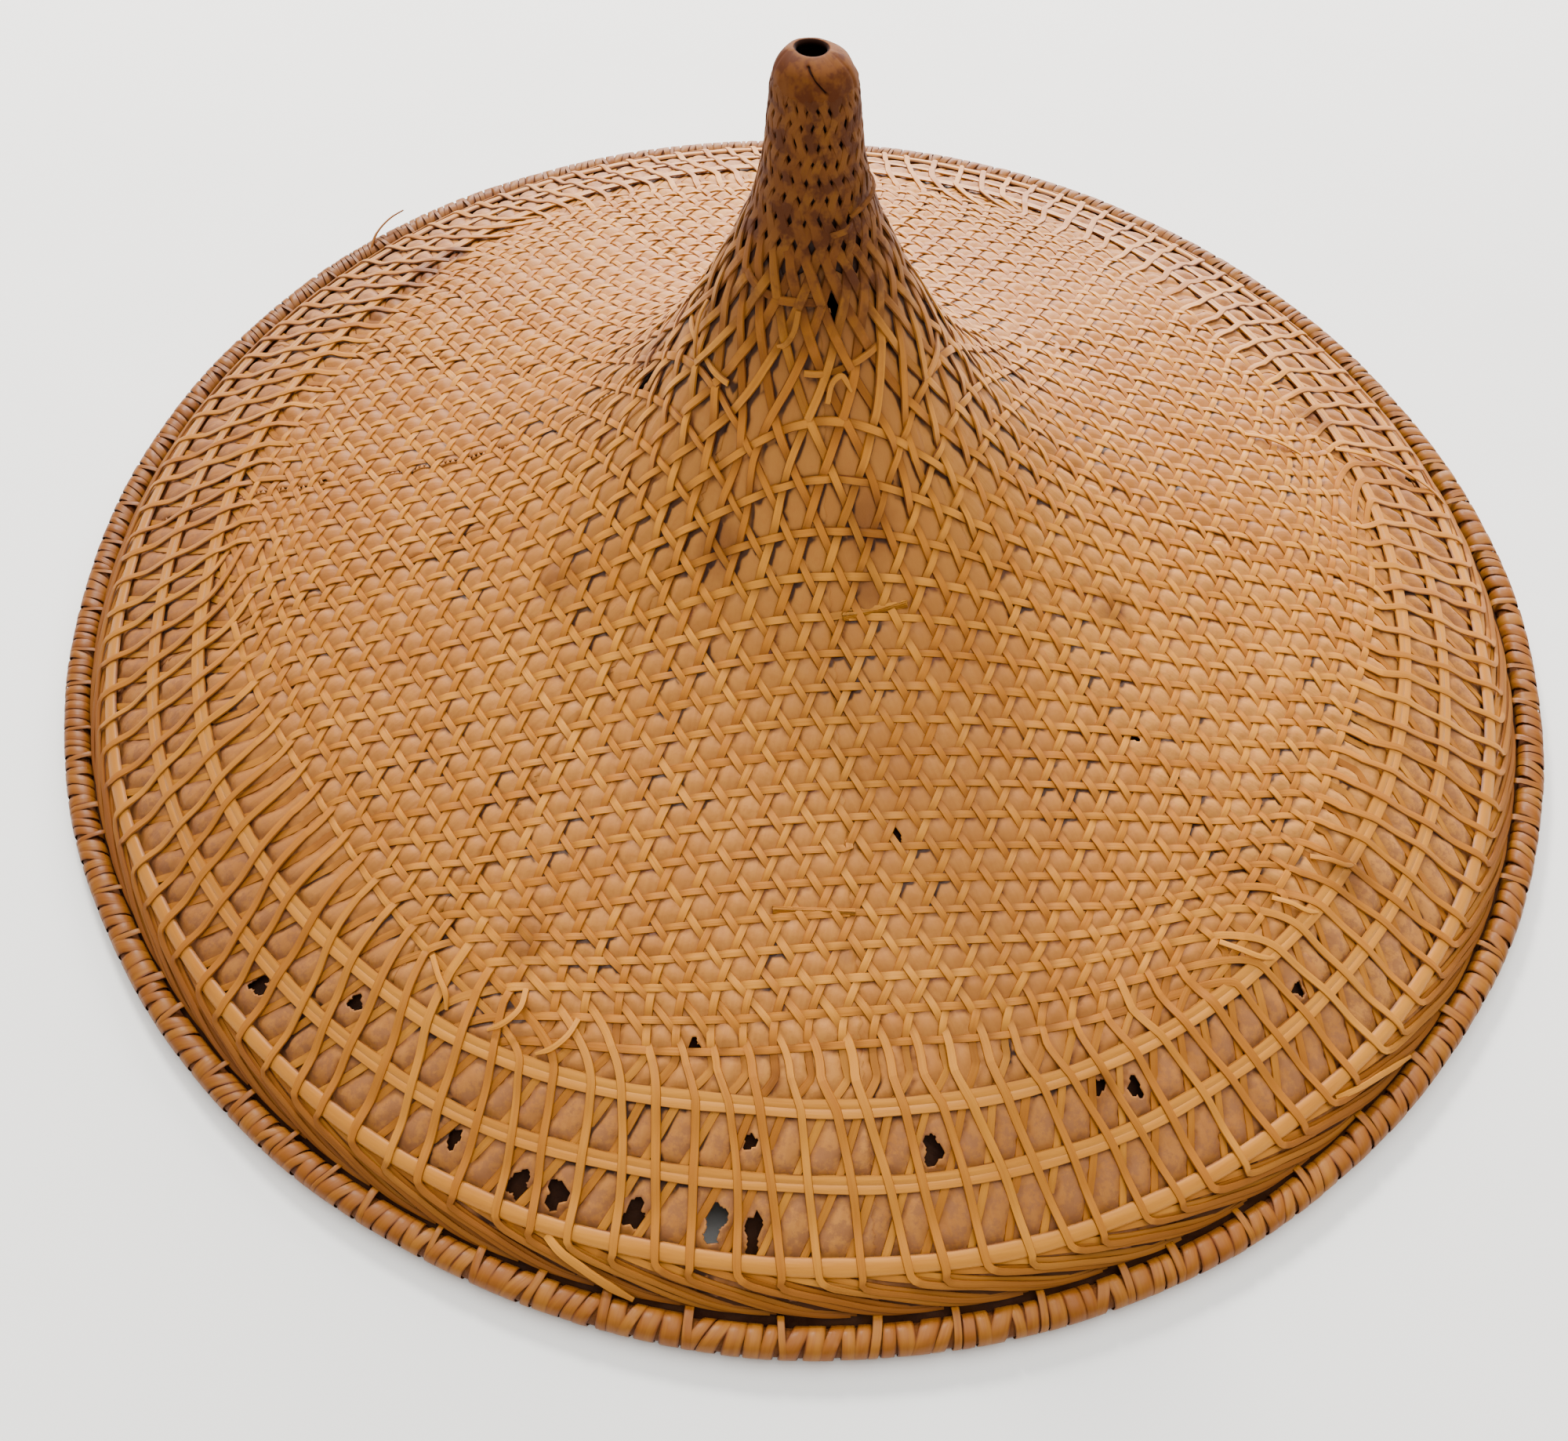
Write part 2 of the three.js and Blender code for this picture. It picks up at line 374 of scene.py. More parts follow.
def half_row(direction, offset, spacing, climbs):
    """Length, angle, hand and forced heights of a row's half, from its inner end to the edge"""
    rank = abs(offset) / spacing - 0.5
    hand = 1 if offset > 0 else -1
    zero = direction + hand * (rank + 0.5) * CELL + FIRST_TURN[hand]
    stray = STRAY * np.sin(STRAY_WAVES * zero + STRAY_PHASES)
    drift = np.array(LEFT_DRIFT if hand < 0 else RIGHT_DRIFT) + stray
    hoops = [float(course(hoop, zero + drift[hoop + 1] * CELL)) for hoop in range(3)]

    if climbs:
        length = np.linspace(0.0, PROFILE.at_radius(hoops[0]), 900)
        radius = np.interp(length, PROFILE.length, PROFILE.radius)
    else:
        along = np.linspace(0.0, math.sqrt(hoops[0] ** 2 - offset ** 2), 500)
        radius = np.hypot(offset, along)
        length = PROFILE.at_radius(radius)
    swing = np.arcsin(np.clip(offset / radius, -1.0, 1.0))
    if climbs:
        even = (rank + 0.5) * SPIRE_LANE + spire_twist(length)
        share = smoothstep((CLIMB_START - radius) / (CLIMB_START - CLIMB_SET))
        swing = swing * (1 - share) + hand * even * share
    bend_start = max(BEND_START, abs(offset) + 0.001)
    share = smoothstep((radius - bend_start) / (hoops[0] - bend_start))
    stop = np.interp(radius, [SHOULDER_START, hoops[0]], [0.0, 1.0])
    lane = zero + CELL * np.interp(stop, HOOP_STOPS, drift)
    angle = (direction + swing) * (1 - share) + lane * share

    out_radius = np.linspace(hoops[0], hoops[2], 120)[1:]
    stop = np.interp(out_radius, hoops, HOOP_STOPS[1:])
    out_angle = zero + CELL * through(HOOP_STOPS, drift, stop)
    rows = LEFT_TAIL if hand < 0 else RIGHT_TAIL
    tail_radius, tail_angle, tail_height = tail_route(rows, hoops[2], zero, stray[3])

    radius = np.concatenate([radius, out_radius, tail_radius[1:]])
    angle = np.concatenate([angle, out_angle, tail_angle[1:]])
    forced = np.full(len(radius), np.nan)
    forced[-len(tail_height) + 1:] = tail_height[1:]
    length = np.concatenate([length, PROFILE.at_radius(radius[len(length):])])
    return length, angle, np.full(len(radius), float(hand)), forced


def lay_strand(family, lane, route, step):
    """A strand in even steps along a route"""
    length, angle, hand, forced = route
    known = (~np.isnan(forced)).astype(float)
    heights = np.nan_to_num(forced, nan=forced[-1])
    run, values = even_steps(length, angle, step, (hand, heights, known))
    forced = np.where(values[4] > 0.99, values[3], np.nan)
    return Strand(family, lane, run, values[0], values[1], np.sign(values[2]), forced)


def lay_rows(spacing, step):
    """All the strands of the weave, without their overs and unders"""
    strands = []
    for family, degrees in enumerate(ROW_DIRECTIONS):
        direction = math.radians(degrees)
        turn = round((degrees - ROW_DIRECTIONS[0]) / 60)
        for rank in range(-ROWS_EACH_SIDE, ROWS_EACH_SIDE):
            offset = (rank + 0.5) * spacing
            climbs = abs(offset) < CLIMBING_EACH_SIDE * spacing
            ahead = half_row(direction, offset, spacing, climbs)
            behind = half_row(direction + math.pi, -offset, spacing, climbs)
            if climbs:
                lane = CLIMBING_EACH_SIDE * turn + rank
                back_lane = CLIMBING_EACH_SIDE * (turn + 3) - rank - 1
                strands.append(lay_strand(family, lane, ahead, step * CLIMBING_STEP))
                strands.append(lay_strand(family, back_lane, behind, step * CLIMBING_STEP))
            else:
                route = [np.concatenate([back[::-1], front[1:]]) for back, front in zip(behind, ahead)]
                strands.append(lay_strand(family, 0, route, step))
    return strands


def lay_foot_rows(step):
    """Rows that run round the spire's foot and lock the climbing strands"""
    strands = []
    for rank, (radius, start, end) in enumerate(FOOT_ROWS):
        angle = np.linspace(math.radians(start), math.radians(end), 300)
        wobble = 0.0007 * np.sin(3 * angle + rank) + 0.0005 * np.sin(5 * angle + 2 * rank)
        length = PROFILE.at_radius(radius + wobble)
        forced = np.full(len(angle), np.nan)
        route = (length, angle, np.zeros(len(angle)), forced)
        strands.append(lay_strand(FOOT_FAMILY, rank, route, step))
    return strands


def tree_of(points):
    tree = KDTree(len(points))
    for i, point in enumerate(points):
        tree.insert(point, i)
    tree.balance()
    return tree


def find_crossings(strands, step):
    """Pairs of strands that cross: strand and place along it, for each of the two"""
    points = [strand.points() for strand in strands]
    middles = np.concatenate([(route[1:] + route[:-1]) / 2 for route in points])
    owner = np.concatenate([np.full(len(route) - 1, i) for i, route in enumerate(points)])
    place = np.concatenate([np.arange(len(route) - 1) for route in points])
    starts = np.concatenate([route[:-1, :2] for route in points])
    ends = np.concatenate([route[1:, :2] for route in points])
    tree = tree_of(middles)
    first, second = [], []
    for i, middle in enumerate(middles):
        mine = owner[i]
        for _, j, _ in tree.find_range(middle, step * 1.02):
            if j > i and owner[j] != mine:
                first.append(i)
                second.append(j)
    first, second = np.array(first), np.array(second)
    run_a = ends[first] - starts[first]
    run_b = ends[second] - starts[second]
    apart = starts[second] - starts[first]
    turn = run_a[:, 0] * run_b[:, 1] - run_a[:, 1] * run_b[:, 0]
    turn = np.where(np.abs(turn) < 1e-16, 1e-16, turn)
    along_a = (apart[:, 0] * run_b[:, 1] - apart[:, 1] * run_b[:, 0]) / turn
    along_b = (apart[:, 0] * run_a[:, 1] - apart[:, 1] * run_a[:, 0]) / turn
    meets = (along_a >= 0) & (along_a < 1) & (along_b >= 0) & (along_b < 1)
    first, second = first[meets], second[meets]
    along_a, along_b = along_a[meets], along_b[meets]
    return owner[first], place[first] + along_a, owner[second], place[second] + along_b


def radius_at(strand, place):
    return float(np.interp(place, np.arange(len(strand.length)), strand.radius()))


def first_lies_over(one, hand, other, radius):
    """True where the first of two crossing strands lies over the second"""
    if radius < FLARE_END - 0.0004:
        if one.family == FOOT_FAMILY:
            return other.lane % 2 == 0
        if other.family == FOOT_FAMILY:
            return one.lane % 2 == 1
        return (one.lane + other.lane) % 2 == (0 if hand < 0 else 1)
    return (one.family - other.family) % 3 == 1


def set_heights(strand, knots):
    """Gives a strand its heights from its overs and unders, with a flat stretch on each"""
    knots = sorted(knots)
    places = np.array([knot[0] for knot in knots])
    heights = np.array([knot[1] for knot in knots])
    at = np.arange(len(strand.length), dtype=float)
    if len(places) < 2:
        over = np.full(len(at), WEAVE_MIDDLE)
    else:
        row = np.clip(np.searchsorted(places, at, side="right") - 1, 0, len(places) - 2)
        gap = np.maximum(places[row + 1] - places[row], 1e-6)
        part = smoothstep((at - places[row]) / gap)
        over = heights[row] * (1 - part) + heights[row + 1] * part
    known = ~np.isnan(strand.forced)
    over[known] = strand.forced[known]
    strand.over = over


def hoop_knots(strand, thickness):
    """Heights at which a strand passes the three hoops, and sags between them"""
    knots = []
    radius = strand.radius()
    courses = [course(hoop, strand.angle) for hoop in range(3)]
    over = [top + thickness / 2 + OVER_HOOP_GAP for top in HOOP_TOPS]
    under = HOOP_FOOT - thickness / 2 - UNDER_HOOP_GAP
    gates = [(courses[hoop], over[hoop], under) for hoop in range(3)]
    gates += [((courses[hoop] + courses[hoop + 1]) / 2, LEFT_SAG, None) for hoop in range(2)]
    for gate, left_height, right_height in gates:
        away = radius - gate
        for i in np.nonzero((away[1:] > 0) != (away[:-1] > 0))[0]:
            height = left_height if strand.hand[i] < 0 else right_height
            if height is not None:
                knots.append((i + away[i] / (away[i] - away[i + 1]), height))
    return knots


@functools.lru_cache(maxsize=None)
def woven_strands(spacing, thickness, step):
    """The strands of the weave, each with its heights over the face"""
    strands = lay_rows(spacing, step) + lay_foot_rows(step)
    knots = [hoop_knots(strand, thickness) for strand in strands]
    for a, place_a, b, place_b in zip(*find_crossings(strands, step)):
        one, other = strands[a], strands[b]
        radius = radius_at(one, place_a)
        hand_a, hand_b = one.hand[int(place_a)], other.hand[int(place_b)]
        if radius > SHOULDER_START and hand_a != hand_b:
            lower, place = (a, place_a) if hand_a > 0 else (b, place_b)
            knots[lower].append((place, UNDER_LEFT))
        else:
            lies_over = first_lies_over(one, hand_a, other, radius)
            lift = SPIRE_LIFT if radius < SPIRE_END else CROSSING_LIFT
            lift = lift if lies_over else -lift
            knots[a].append((place_a, WEAVE_MIDDLE + lift))
            knots[b].append((place_b, WEAVE_MIDDLE - lift))
    for strand, own in zip(strands, knots):
        set_heights(strand, own)
    return strands


SHARP_EDGE = math.radians(50)


class Batch:
    """Small closed shapes gathered into one mesh, with a texture map and two values at each point"""

    def __init__(self):
        self.points = []
        self.maps = []
        self.tones = []
        self.depths = []
        self.faces = []
        self.count = 0

    def add(self, rings, along, across, tone, depth, closed=False):
        """Joins rings of points into a closed bar, or into a closed loop"""
        rounds, sides = rings.shape[:2]
        index = self.count + np.arange(rounds * sides).reshape(rounds, sides)
        here = np.vstack([index, index[:1]]) if closed else index
        near, far = here[:-1], here[1:]
        quads = np.stack([near, np.roll(near, -1, axis=1), np.roll(far, -1, axis=1), far], axis=-1)
        self.faces.extend(quads.reshape(-1, 4).tolist())
        if not closed:
            self.faces.append(index[0][::-1].tolist())
            self.faces.append(index[-1].tolist())
        self.points.append(rings.reshape(-1, 3))
        flat = np.stack(np.broadcast_arrays(along[:, None], across[None, :]), axis=-1)
        self.maps.append(flat.reshape(-1, 2))
        self.tones.append(np.full(rounds * sides, tone))
        deep = np.asarray(depth, float).reshape(-1, 1)
        self.depths.append(np.broadcast_to(deep, (rounds, sides)).reshape(-1))
        self.count += rounds * sides

    def piece(self, name, material, slot, nodes, map_name="Strand"):
        mesh = bpy.data.meshes.new(name)
        mesh.from_pydata(np.concatenate(self.points).tolist(), [], self.faces)
        set_map(mesh, map_name, np.concatenate(self.maps))
        set_values(mesh, "tone", np.concatenate(self.tones))
        set_values(mesh, "depth", np.concatenate(self.depths))
        mesh.shade_smooth()
        mesh.set_sharp_from_angle(angle=SHARP_EDGE)
        return place_piece(name, mesh, material, nodes)


def set_map(mesh, name, places):
    """Gives a mesh a texture map from the place of each of its points"""
    corner = np.empty(len(mesh.loops), dtype=np.int32)
    mesh.loops.foreach_get("vertex_index", corner)
    layer = mesh.uv_layers.new(name=name)
    layer.data.foreach_set("uv", places[corner].astype(np.float32).ravel())


def set_values(mesh, name, values):
    """Gives the points of a mesh one value for all, or a value for each"""
    layer = mesh.attributes.new(name, "FLOAT", "POINT")
    layer.data.foreach_set("value", np.full(len(mesh.vertices), values, dtype=np.float32))


def mesh_of(name, shape):
    """A mesh from a finished bmesh, which is freed"""
    mesh = bpy.data.meshes.new(name)
    shape.to_mesh(mesh)
    shape.free()
    return mesh


def place_piece(name, mesh, material, nodes):
    piece = bpy.data.objects.new(name, mesh)
    bpy.context.scene.collection.objects.link(piece)
    mesh.materials.clear()
    mesh.materials.append(material)
    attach(piece, "root")
    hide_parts(*nodes)
    return piece


# Section of a split strand: across, in half widths, and up, in half thicknesses
STRAND_SECTION = np.array([(-0.86, 0.55), (0.0, 1.0), (0.86, 0.55), (1.0, -1.0), (-1.0, -1.0)])

# A strand's own unevenness: how far its width swells, how far it strays sideways and how far it
# tilts, each with the length over which it comes and goes
LONG_SWELL = 0.05
SHORT_SWELL, SHORT_SWELL_RUN = 0.04, 0.011
SIDEWAYS, SIDEWAYS_RUN = 0.00008, 0.031
TILT, TILT_RUN = 0.10, 0.017

# On the spire a strand is pinched where it dives between its neighbours, and winds a little from side
# to side, in long and in short bends
PINCHED_FROM = 1.15
PINCHED_BY = 0.27
LONG_BEND, LONG_BEND_RUN = 0.00020, 0.0034
SHORT_BEND, SHORT_BEND_RUN = 0.00010, 0.0012

# How much narrower the short rows round the spire's foot are
FOOT_ROW_WIDTH = 0.8


def ribbon(centres, normals, width, thickness, section=STRAND_SECTION):
    """Rings of points of a flat strand along a line of centres"""
    forward = np.gradient(centres, axis=0)
    forward /= np.linalg.norm(forward, axis=1, keepdims=True)
    side = np.cross(forward, normals)
    side /= np.linalg.norm(side, axis=1, keepdims=True)
    up = np.cross(side, forward)
    half_width = (np.broadcast_to(width, len(centres)) / 2)[:, None, None]
    across = section[None, :, 0:1] * half_width * side[:, None, :]
    rise = section[None, :, 1:2] * (thickness / 2) * up[:, None, :]
    return centres[:, None, :] + across + rise


def round_ribbon(centres, normals, width, thickness, section=STRAND_SECTION):
    """Rings of points of a flat strand that runs right round the hat and meets itself"""
    width = np.broadcast_to(width, len(centres))
    centres, normals, width = (np.concatenate([rows[-1:], rows, rows[:1]])
                               for rows in (centres, normals, width))
    return ribbon(centres, normals, width, thickness, section)[1:-1]


def strand_rings(strand, width, thickness, rng):
    """Solid points of one woven strand, with a slight unevenness of its own"""
    centres = straight_on_hat(strand.length, strand.angle, strand.over)
    normals = outward(strand.length, strand.angle)
    along = strand.run
    wave = rng.uniform(0.02, 0.05)
    phase = rng.uniform(0, 2 * math.pi, 3)
    swell = 1 + LONG_SWELL * np.sin(along / wave + phase[0])
    swell = swell + SHORT_SWELL * np.sin(along / SHORT_SWELL_RUN + phase[1])
    radius, share = np.array(WIDTH_COURSE).T
    share = np.interp(strand.radius(), radius, share)
    if strand.family == FOOT_FAMILY:
        share = share * FOOT_ROW_WIDTH
    widths = width * rng.uniform(0.94, 1.08) * swell * share
    dive = np.minimum(np.abs(strand.over - WEAVE_MIDDLE) / SPIRE_LIFT, 1.0)
    pinch = PINCHED_FROM - PINCHED_BY * dive ** 2
    closely = smoothstep((SPIRE_END + 0.001 - strand.radius()) / 0.002)
    widths = widths * (1 - closely + closely * pinch)
    drift = rng.normal(0, 0.00006) + SIDEWAYS * np.sin(along / SIDEWAYS_RUN + phase[2])
    bend = LONG_BEND * np.sin(along / LONG_BEND_RUN + phase[0])
    bend = bend + SHORT_BEND * np.sin(along / SHORT_BEND_RUN + phase[1])
    drift = drift + closely * bend
    side = np.cross(np.gradient(centres, axis=0), normals)
    side /= np.linalg.norm(side, axis=1, keepdims=True)
    tilt = TILT * np.sin(along / TILT_RUN + phase[1])
    normals = normals + side * tilt[:, None]
    return ribbon(centres + side * drift[:, None], normals, widths, thickness)


class Value:
    """A shader socket that takes part in Python expressions"""

    def __init__(self, graph, socket):
        self.graph = graph
        self.socket = socket

    def math(self, operation, *others):
        return self.graph.math(operation, self, *others)

    def __add__(self, other):
        return self.math("ADD", other)

    __radd__ = __add__

    def __mul__(self, other):
        return self.math("MULTIPLY", other)

    __rmul__ = __mul__

    def __sub__(self, other):
        return self.math("SUBTRACT", other)

    def __rsub__(self, other):
        return self.graph.math("SUBTRACT", other, self)


COAT_ROUGHNESS = 0.3


class Graph:
    """The node tree of one material"""

    def __init__(self, name):
        self.material = bpy.data.materials.new(name)
        self.material.use_nodes = True
        self.tree = self.material.node_tree
        self.shader = self.tree.nodes["Principled BSDF"]

    def feed(self, socket, value):
        if isinstance(value, Value):
            self.tree.links.new(value.socket, socket)
        else:
            socket.default_value = value

    def node(self, kind, settings=None, inputs=None, output=0):
        made = self.tree.nodes.new(kind)
        for name, value in (settings or {}).items():
            setattr(made, name, value)
        for key, value in (inputs or {}).items():
            self.feed(made.inputs[key], value)
        return Value(self, made.outputs[output])

    def math(self, operation, *values):
        return self.node("ShaderNodeMath", {"operation": operation}, dict(enumerate(values)))

    def attribute(self, name):
        return self.node("ShaderNodeAttribute", {"attribute_name": name}, output="Fac")

    def parts(self, vector):
        """The three parts of a vector"""
        made = self.node("ShaderNodeSeparateXYZ", inputs={0: vector})
        return [Value(self, socket) for socket in made.socket.node.outputs]

    def vector(self, x, y, z):
        return self.node("ShaderNodeCombineXYZ", inputs={0: x, 1: y, 2: z})

    def noise(self, vector, scale, detail=2.0, roughness=0.5):
        inputs = {"Vector": vector, "Scale": scale, "Detail": detail, "Roughness": roughness}
        return self.node("ShaderNodeTexNoise", inputs=inputs, output="Fac")

    def between(self, value, low, high):
        """The value moved from low..high to 0..1 and held there"""
        inputs = {"Value": value, "From Min": low, "From Max": high}
        return self.node("ShaderNodeMapRange", {"interpolation_type": "SMOOTHSTEP"}, inputs)

    def mix(self, factor, one, other):
        inputs = {0: factor, 6: one, 7: other}
        return self.node("ShaderNodeMix", {"data_type": "RGBA"}, inputs, output=2)

    def plan(self, here):
        """A place seen from above, without its height"""
        inputs = {0: here, 1: (1.0, 1.0, 0.0)}
        return self.node("ShaderNodeVectorMath", {"operation": "MULTIPLY"}, inputs)

    def away(self, plan, x, y):
        """Distance in plan from a place"""
        inputs = {0: plan, 1: (x, y, 0.0)}
        return self.node("ShaderNodeVectorMath", {"operation": "DISTANCE"}, inputs, output="Value")

    def plan_radius(self, here):
        return self.away(self.plan(here), 0.0, 0.0)

    def stains_and_left_shade(self, here, patch):
        """How much the old stains and the painted shade of the left side darken a place, from 0 to 1"""
        plan = self.plan(here)
        total = self.between(self.parts(here)[0] * -1.0, LEFT_SHADE_FROM, LEFT_SHADE_TO) * LEFT_SHADE_SHARE
        for x, y, reach, share in STAINS:
            near = 1.0 - self.between(self.away(plan, x, y) + (patch - 0.5) * reach, 0.2 * reach, reach)
            total = total.math("MAXIMUM", near * share)
        return total

    def bump(self, height, distance):
        return self.node("ShaderNodeBump", inputs={"Height": height, "Distance": distance, "Strength": 1.0})

    def finish(self, colour, roughness, normal, coat=0.0, specular=0.5):
        self.feed(self.shader.inputs["Base Color"], colour)
        self.feed(self.shader.inputs["Roughness"], roughness)
        self.feed(self.shader.inputs["Normal"], normal)
        self.shader.inputs["Coat Weight"].default_value = coat
        self.shader.inputs["Coat Roughness"].default_value = COAT_ROUGHNESS
        self.shader.inputs["Specular IOR Level"].default_value = specular
        return self.material


# Heights between which the strands and leaves turn dark, and the colour that they turn to: partly the
# spire's own darker brown, partly painted shade of the spire's side turned from the light
SPIRE_DARK_FROM = 0.098
SPIRE_DARK_TO = 0.150
SPIRE_BROWN_AND_SHADE = (0.078, 0.0205, 0.0035, 1.0)

# Painted shade on the hat's left side, which is darker and browner: distances to the left of the middle, and
# how much
LEFT_SHADE_FROM = 0.020
LEFT_SHADE_TO = 0.205
LEFT_SHADE_SHARE = 0.36

# Old stains: x, y, reach, and how much they darken
STAINS = (
    (-0.1227, 0.1066, 0.0080, 0.85), (-0.1299, 0.0985, 0.0090, 0.85), (-0.1329, 0.0892, 0.0080, 0.75),
    (-0.1370, 0.0835, 0.0070, 0.70), (-0.1411, 0.0758, 0.0080, 0.80), (0.0110, -0.0430, 0.0090, 0.50),
    (0.0120, -0.0530, 0.0060, 0.50), (-0.0640, -0.0480, 0.0100, 0.46), (-0.0460, 0.0030, 0.0070, 0.46),
    (-0.1600, -0.0410, 0.0100, 0.46), (-0.0630, -0.1340, 0.0070, 0.46), (0.1390, -0.0960, 0.0100, 0.46),
    (0.0770, -0.0390, 0.0080, 0.46), (-0.0240, -0.0480, 0.0080, 0.50), (0.0120, -0.1330, 0.0040, 0.46),
    (-0.0020, -0.1620, 0.0040, 0.46), (0.0730, -0.1560, 0.0050, 0.46), (0.1500, 0.0600, 0.0090, 0.60),
)


# Share of the stain's colour that is left where a place is painted all but black as deep shade
BLACK_SHADE = 0.2


def colour4(value, share=1.0):
    return (*(share * part for part in value[:3]), 1.0)


def rattan(name, colours, coat=0.03, wear=0.0, edge_shade_from=0.44, specular=0.18, grain=0.38):
    """Split rattan: fine fibres along the strand, a tone of its own, and painted shade where it runs low
    under its neighbours. A depth of 1 is unshaded, -1 is low and in painted shade, and -3 is painted black."""
    light, dark, stain_and_shade = (colour4(part) for part in (
        colours.rattan_light, colours.rattan_dark, colours.stain_and_shade))
    graph = Graph(name)
    uv = graph.node("ShaderNodeUVMap", {"uv_map": "Strand"})
    along, across, _ = graph.parts(uv)
    tone = graph.attribute("tone")
    depth = graph.attribute("depth")
    here = graph.node("ShaderNodeTexCoord", output="Object")
    fibre = graph.noise(graph.vector(along * 70, across * 3.4, tone * 37), 1.0, 3.0, 0.6)
    streak = graph.noise(graph.vector(along * 9, across * 1.3, tone * 53), 1.0, 2.0)
    patch = graph.noise(here, 26.0, 3.0, 0.6)
    wash = graph.noise(here, 7.0, 2.0)
    climb = graph.between(graph.parts(here)[2] + (patch - 0.5) * 0.03, SPIRE_DARK_FROM, SPIRE_DARK_TO)
    shade = tone * 0.40 + streak * 0.35 + (fibre - 0.5) * grain + 0.19 + (patch - 0.5) * 0.6
    colour = graph.mix(graph.between(shade, 0.28, 1.0), dark, light)
    # Painted shade on the strand's side walls, and a darker painted line of shade along its edges, in
    # patches; stronger in the flare and fainter up the spire
    side = (across - 0.5).math("ABSOLUTE")
    colour = graph.mix(graph.between(side, 0.32, 0.50) * 0.25, colour, dark)
    painted_shade = graph.between(graph.noise(here, 150.0, 2.0), 0.35, 0.65)
    steep = graph.between(graph.parts(here)[2], 0.060, 0.100) * 0.06
    outline = graph.between(side + steep, edge_shade_from, 0.49) * (0.30 + painted_shade * 0.60) * (1.0 - climb * 0.7)
    colour = graph.mix(outline, colour, stain_and_shade)
    # Painted shade where the strand runs low: under the strands that cross over it, at its turned ends in
    # the plait, and on the rim's core
    low_shade = 1.0 - graph.between(depth, -1.0, 1.0)
    colour = graph.mix(low_shade * 0.50, colour, stain_and_shade)
    colour = graph.mix(graph.between(wash, 0.55, 0.85) * 0.20, colour, stain_and_shade)
    blotch = graph.between(graph.noise(here, 210.0, 3.0, 0.6), 0.44, 0.62)
    # Darker up the spire, with dark blotches: partly its own colour, partly painted shade
    spire_dark = climb * (0.48 + patch * 0.60 + blotch * 0.24)
    colour = graph.mix(spire_dark, colour, SPIRE_BROWN_AND_SHADE)
    colour = graph.mix(graph.stains_and_left_shade(here, patch), colour, stain_and_shade)
    edge = graph.between(graph.plan_radius(here), PLAIT_START, PLAIT_EDGE)
    colour = graph.mix(wear + (patch - 0.5) * 0.3 + edge * 0.52, colour, stain_and_shade)
    # Painted all but black as deep shade where the depth is below -1.5: inside the cap's hole, in its slit
    # and in the band under the plait
    colour = graph.mix(1.0 - graph.between(depth, -2.5, -1.5), colour, colour4(stain_and_shade, BLACK_SHADE))
    roughness = 0.38 + fibre * 0.16 + low_shade * 0.15 + climb * 0.28
    normal = graph.bump(fibre + streak * 0.5, 0.00013)
    return graph.finish(colour, roughness, normal, coat, specular=specular)


class HatSizes(bpy.types.PropertyGroup):
    """Sizes of the strands, hoops and binding"""

    row_spacing: bpy.props.FloatProperty(
        name="Row spacing", description="Distance between neighbouring rows of one way",
        default=ROW_SPACING, unit="LENGTH")
    strand_width: bpy.props.FloatProperty(
        name="Strand width", description="Width of one split strand", default=0.00232, unit="LENGTH")
    strand_thickness: bpy.props.FloatProperty(
        name="Strand thickness", description="Thickness of one split strand",
        default=0.00052, unit="LENGTH")
    strand_step: bpy.props.FloatProperty(
        name="Strand step", description="Length of one mesh step along a strand",
        default=0.00147, unit="LENGTH")
    leaf_thickness: bpy.props.FloatProperty(
        name="Leaf thickness", description="Thickness of one dried leaf", default=0.00035, unit="LENGTH")
    wrap_width: bpy.props.FloatProperty(
        name="Wrap width", description="Width of one turn of the rim binding",
        default=0.0032, unit="LENGTH")


class HatColours(bpy.types.PropertyGroup):
    """Colours of the rattan, the leaves and the stage"""

    rattan_light: bpy.props.FloatVectorProperty(
        name="Light rattan", description="Palest strands", subtype="COLOR", default=(0.66, 0.270, 0.025))
    rattan_dark: bpy.props.FloatVectorProperty(
        name="Dark rattan", description="Brownest strands", subtype="COLOR", default=(0.44, 0.150, 0.012))
    # Used for the real stains and dirt, and also as the painted shade in the weave's low places, gaps and
    # holes
    stain_and_shade: bpy.props.FloatVectorProperty(
        name="Stain", description="Dirt in the weave's low places", subtype="COLOR",
        default=(0.085, 0.018, 0.003))
    leaf: bpy.props.FloatVectorProperty(
        name="Leaf", description="Dried leaves", subtype="COLOR", default=(0.53, 0.220, 0.040))
    leaf_brown: bpy.props.FloatVectorProperty(
        name="Brown leaf", description="Browner patches of the leaves", subtype="COLOR",
        default=(0.37, 0.133, 0.022))
    leaf_dull: bpy.props.FloatVectorProperty(
        name="Dull leaf", description="Leaves under the shoulder", subtype="COLOR",
        default=(0.25, 0.098, 0.038))
    floor: bpy.props.FloatVectorProperty(
        name="Floor", description="Plain pale floor", subtype="COLOR", default=(0.97, 0.975, 0.955))


def weave_of(scene):
    sizes = scene.hat_sizes
    return woven_strands(sizes.row_spacing, sizes.strand_thickness, sizes.strand_step)


WEAVE_NODES = ("spire_weave", "flare_weave", "field_weave", "shoulder_weave")
STRAND_PIECES = ("strands_across", "strands_rising_left", "strands_rising_right", "strands_round_the_spire")


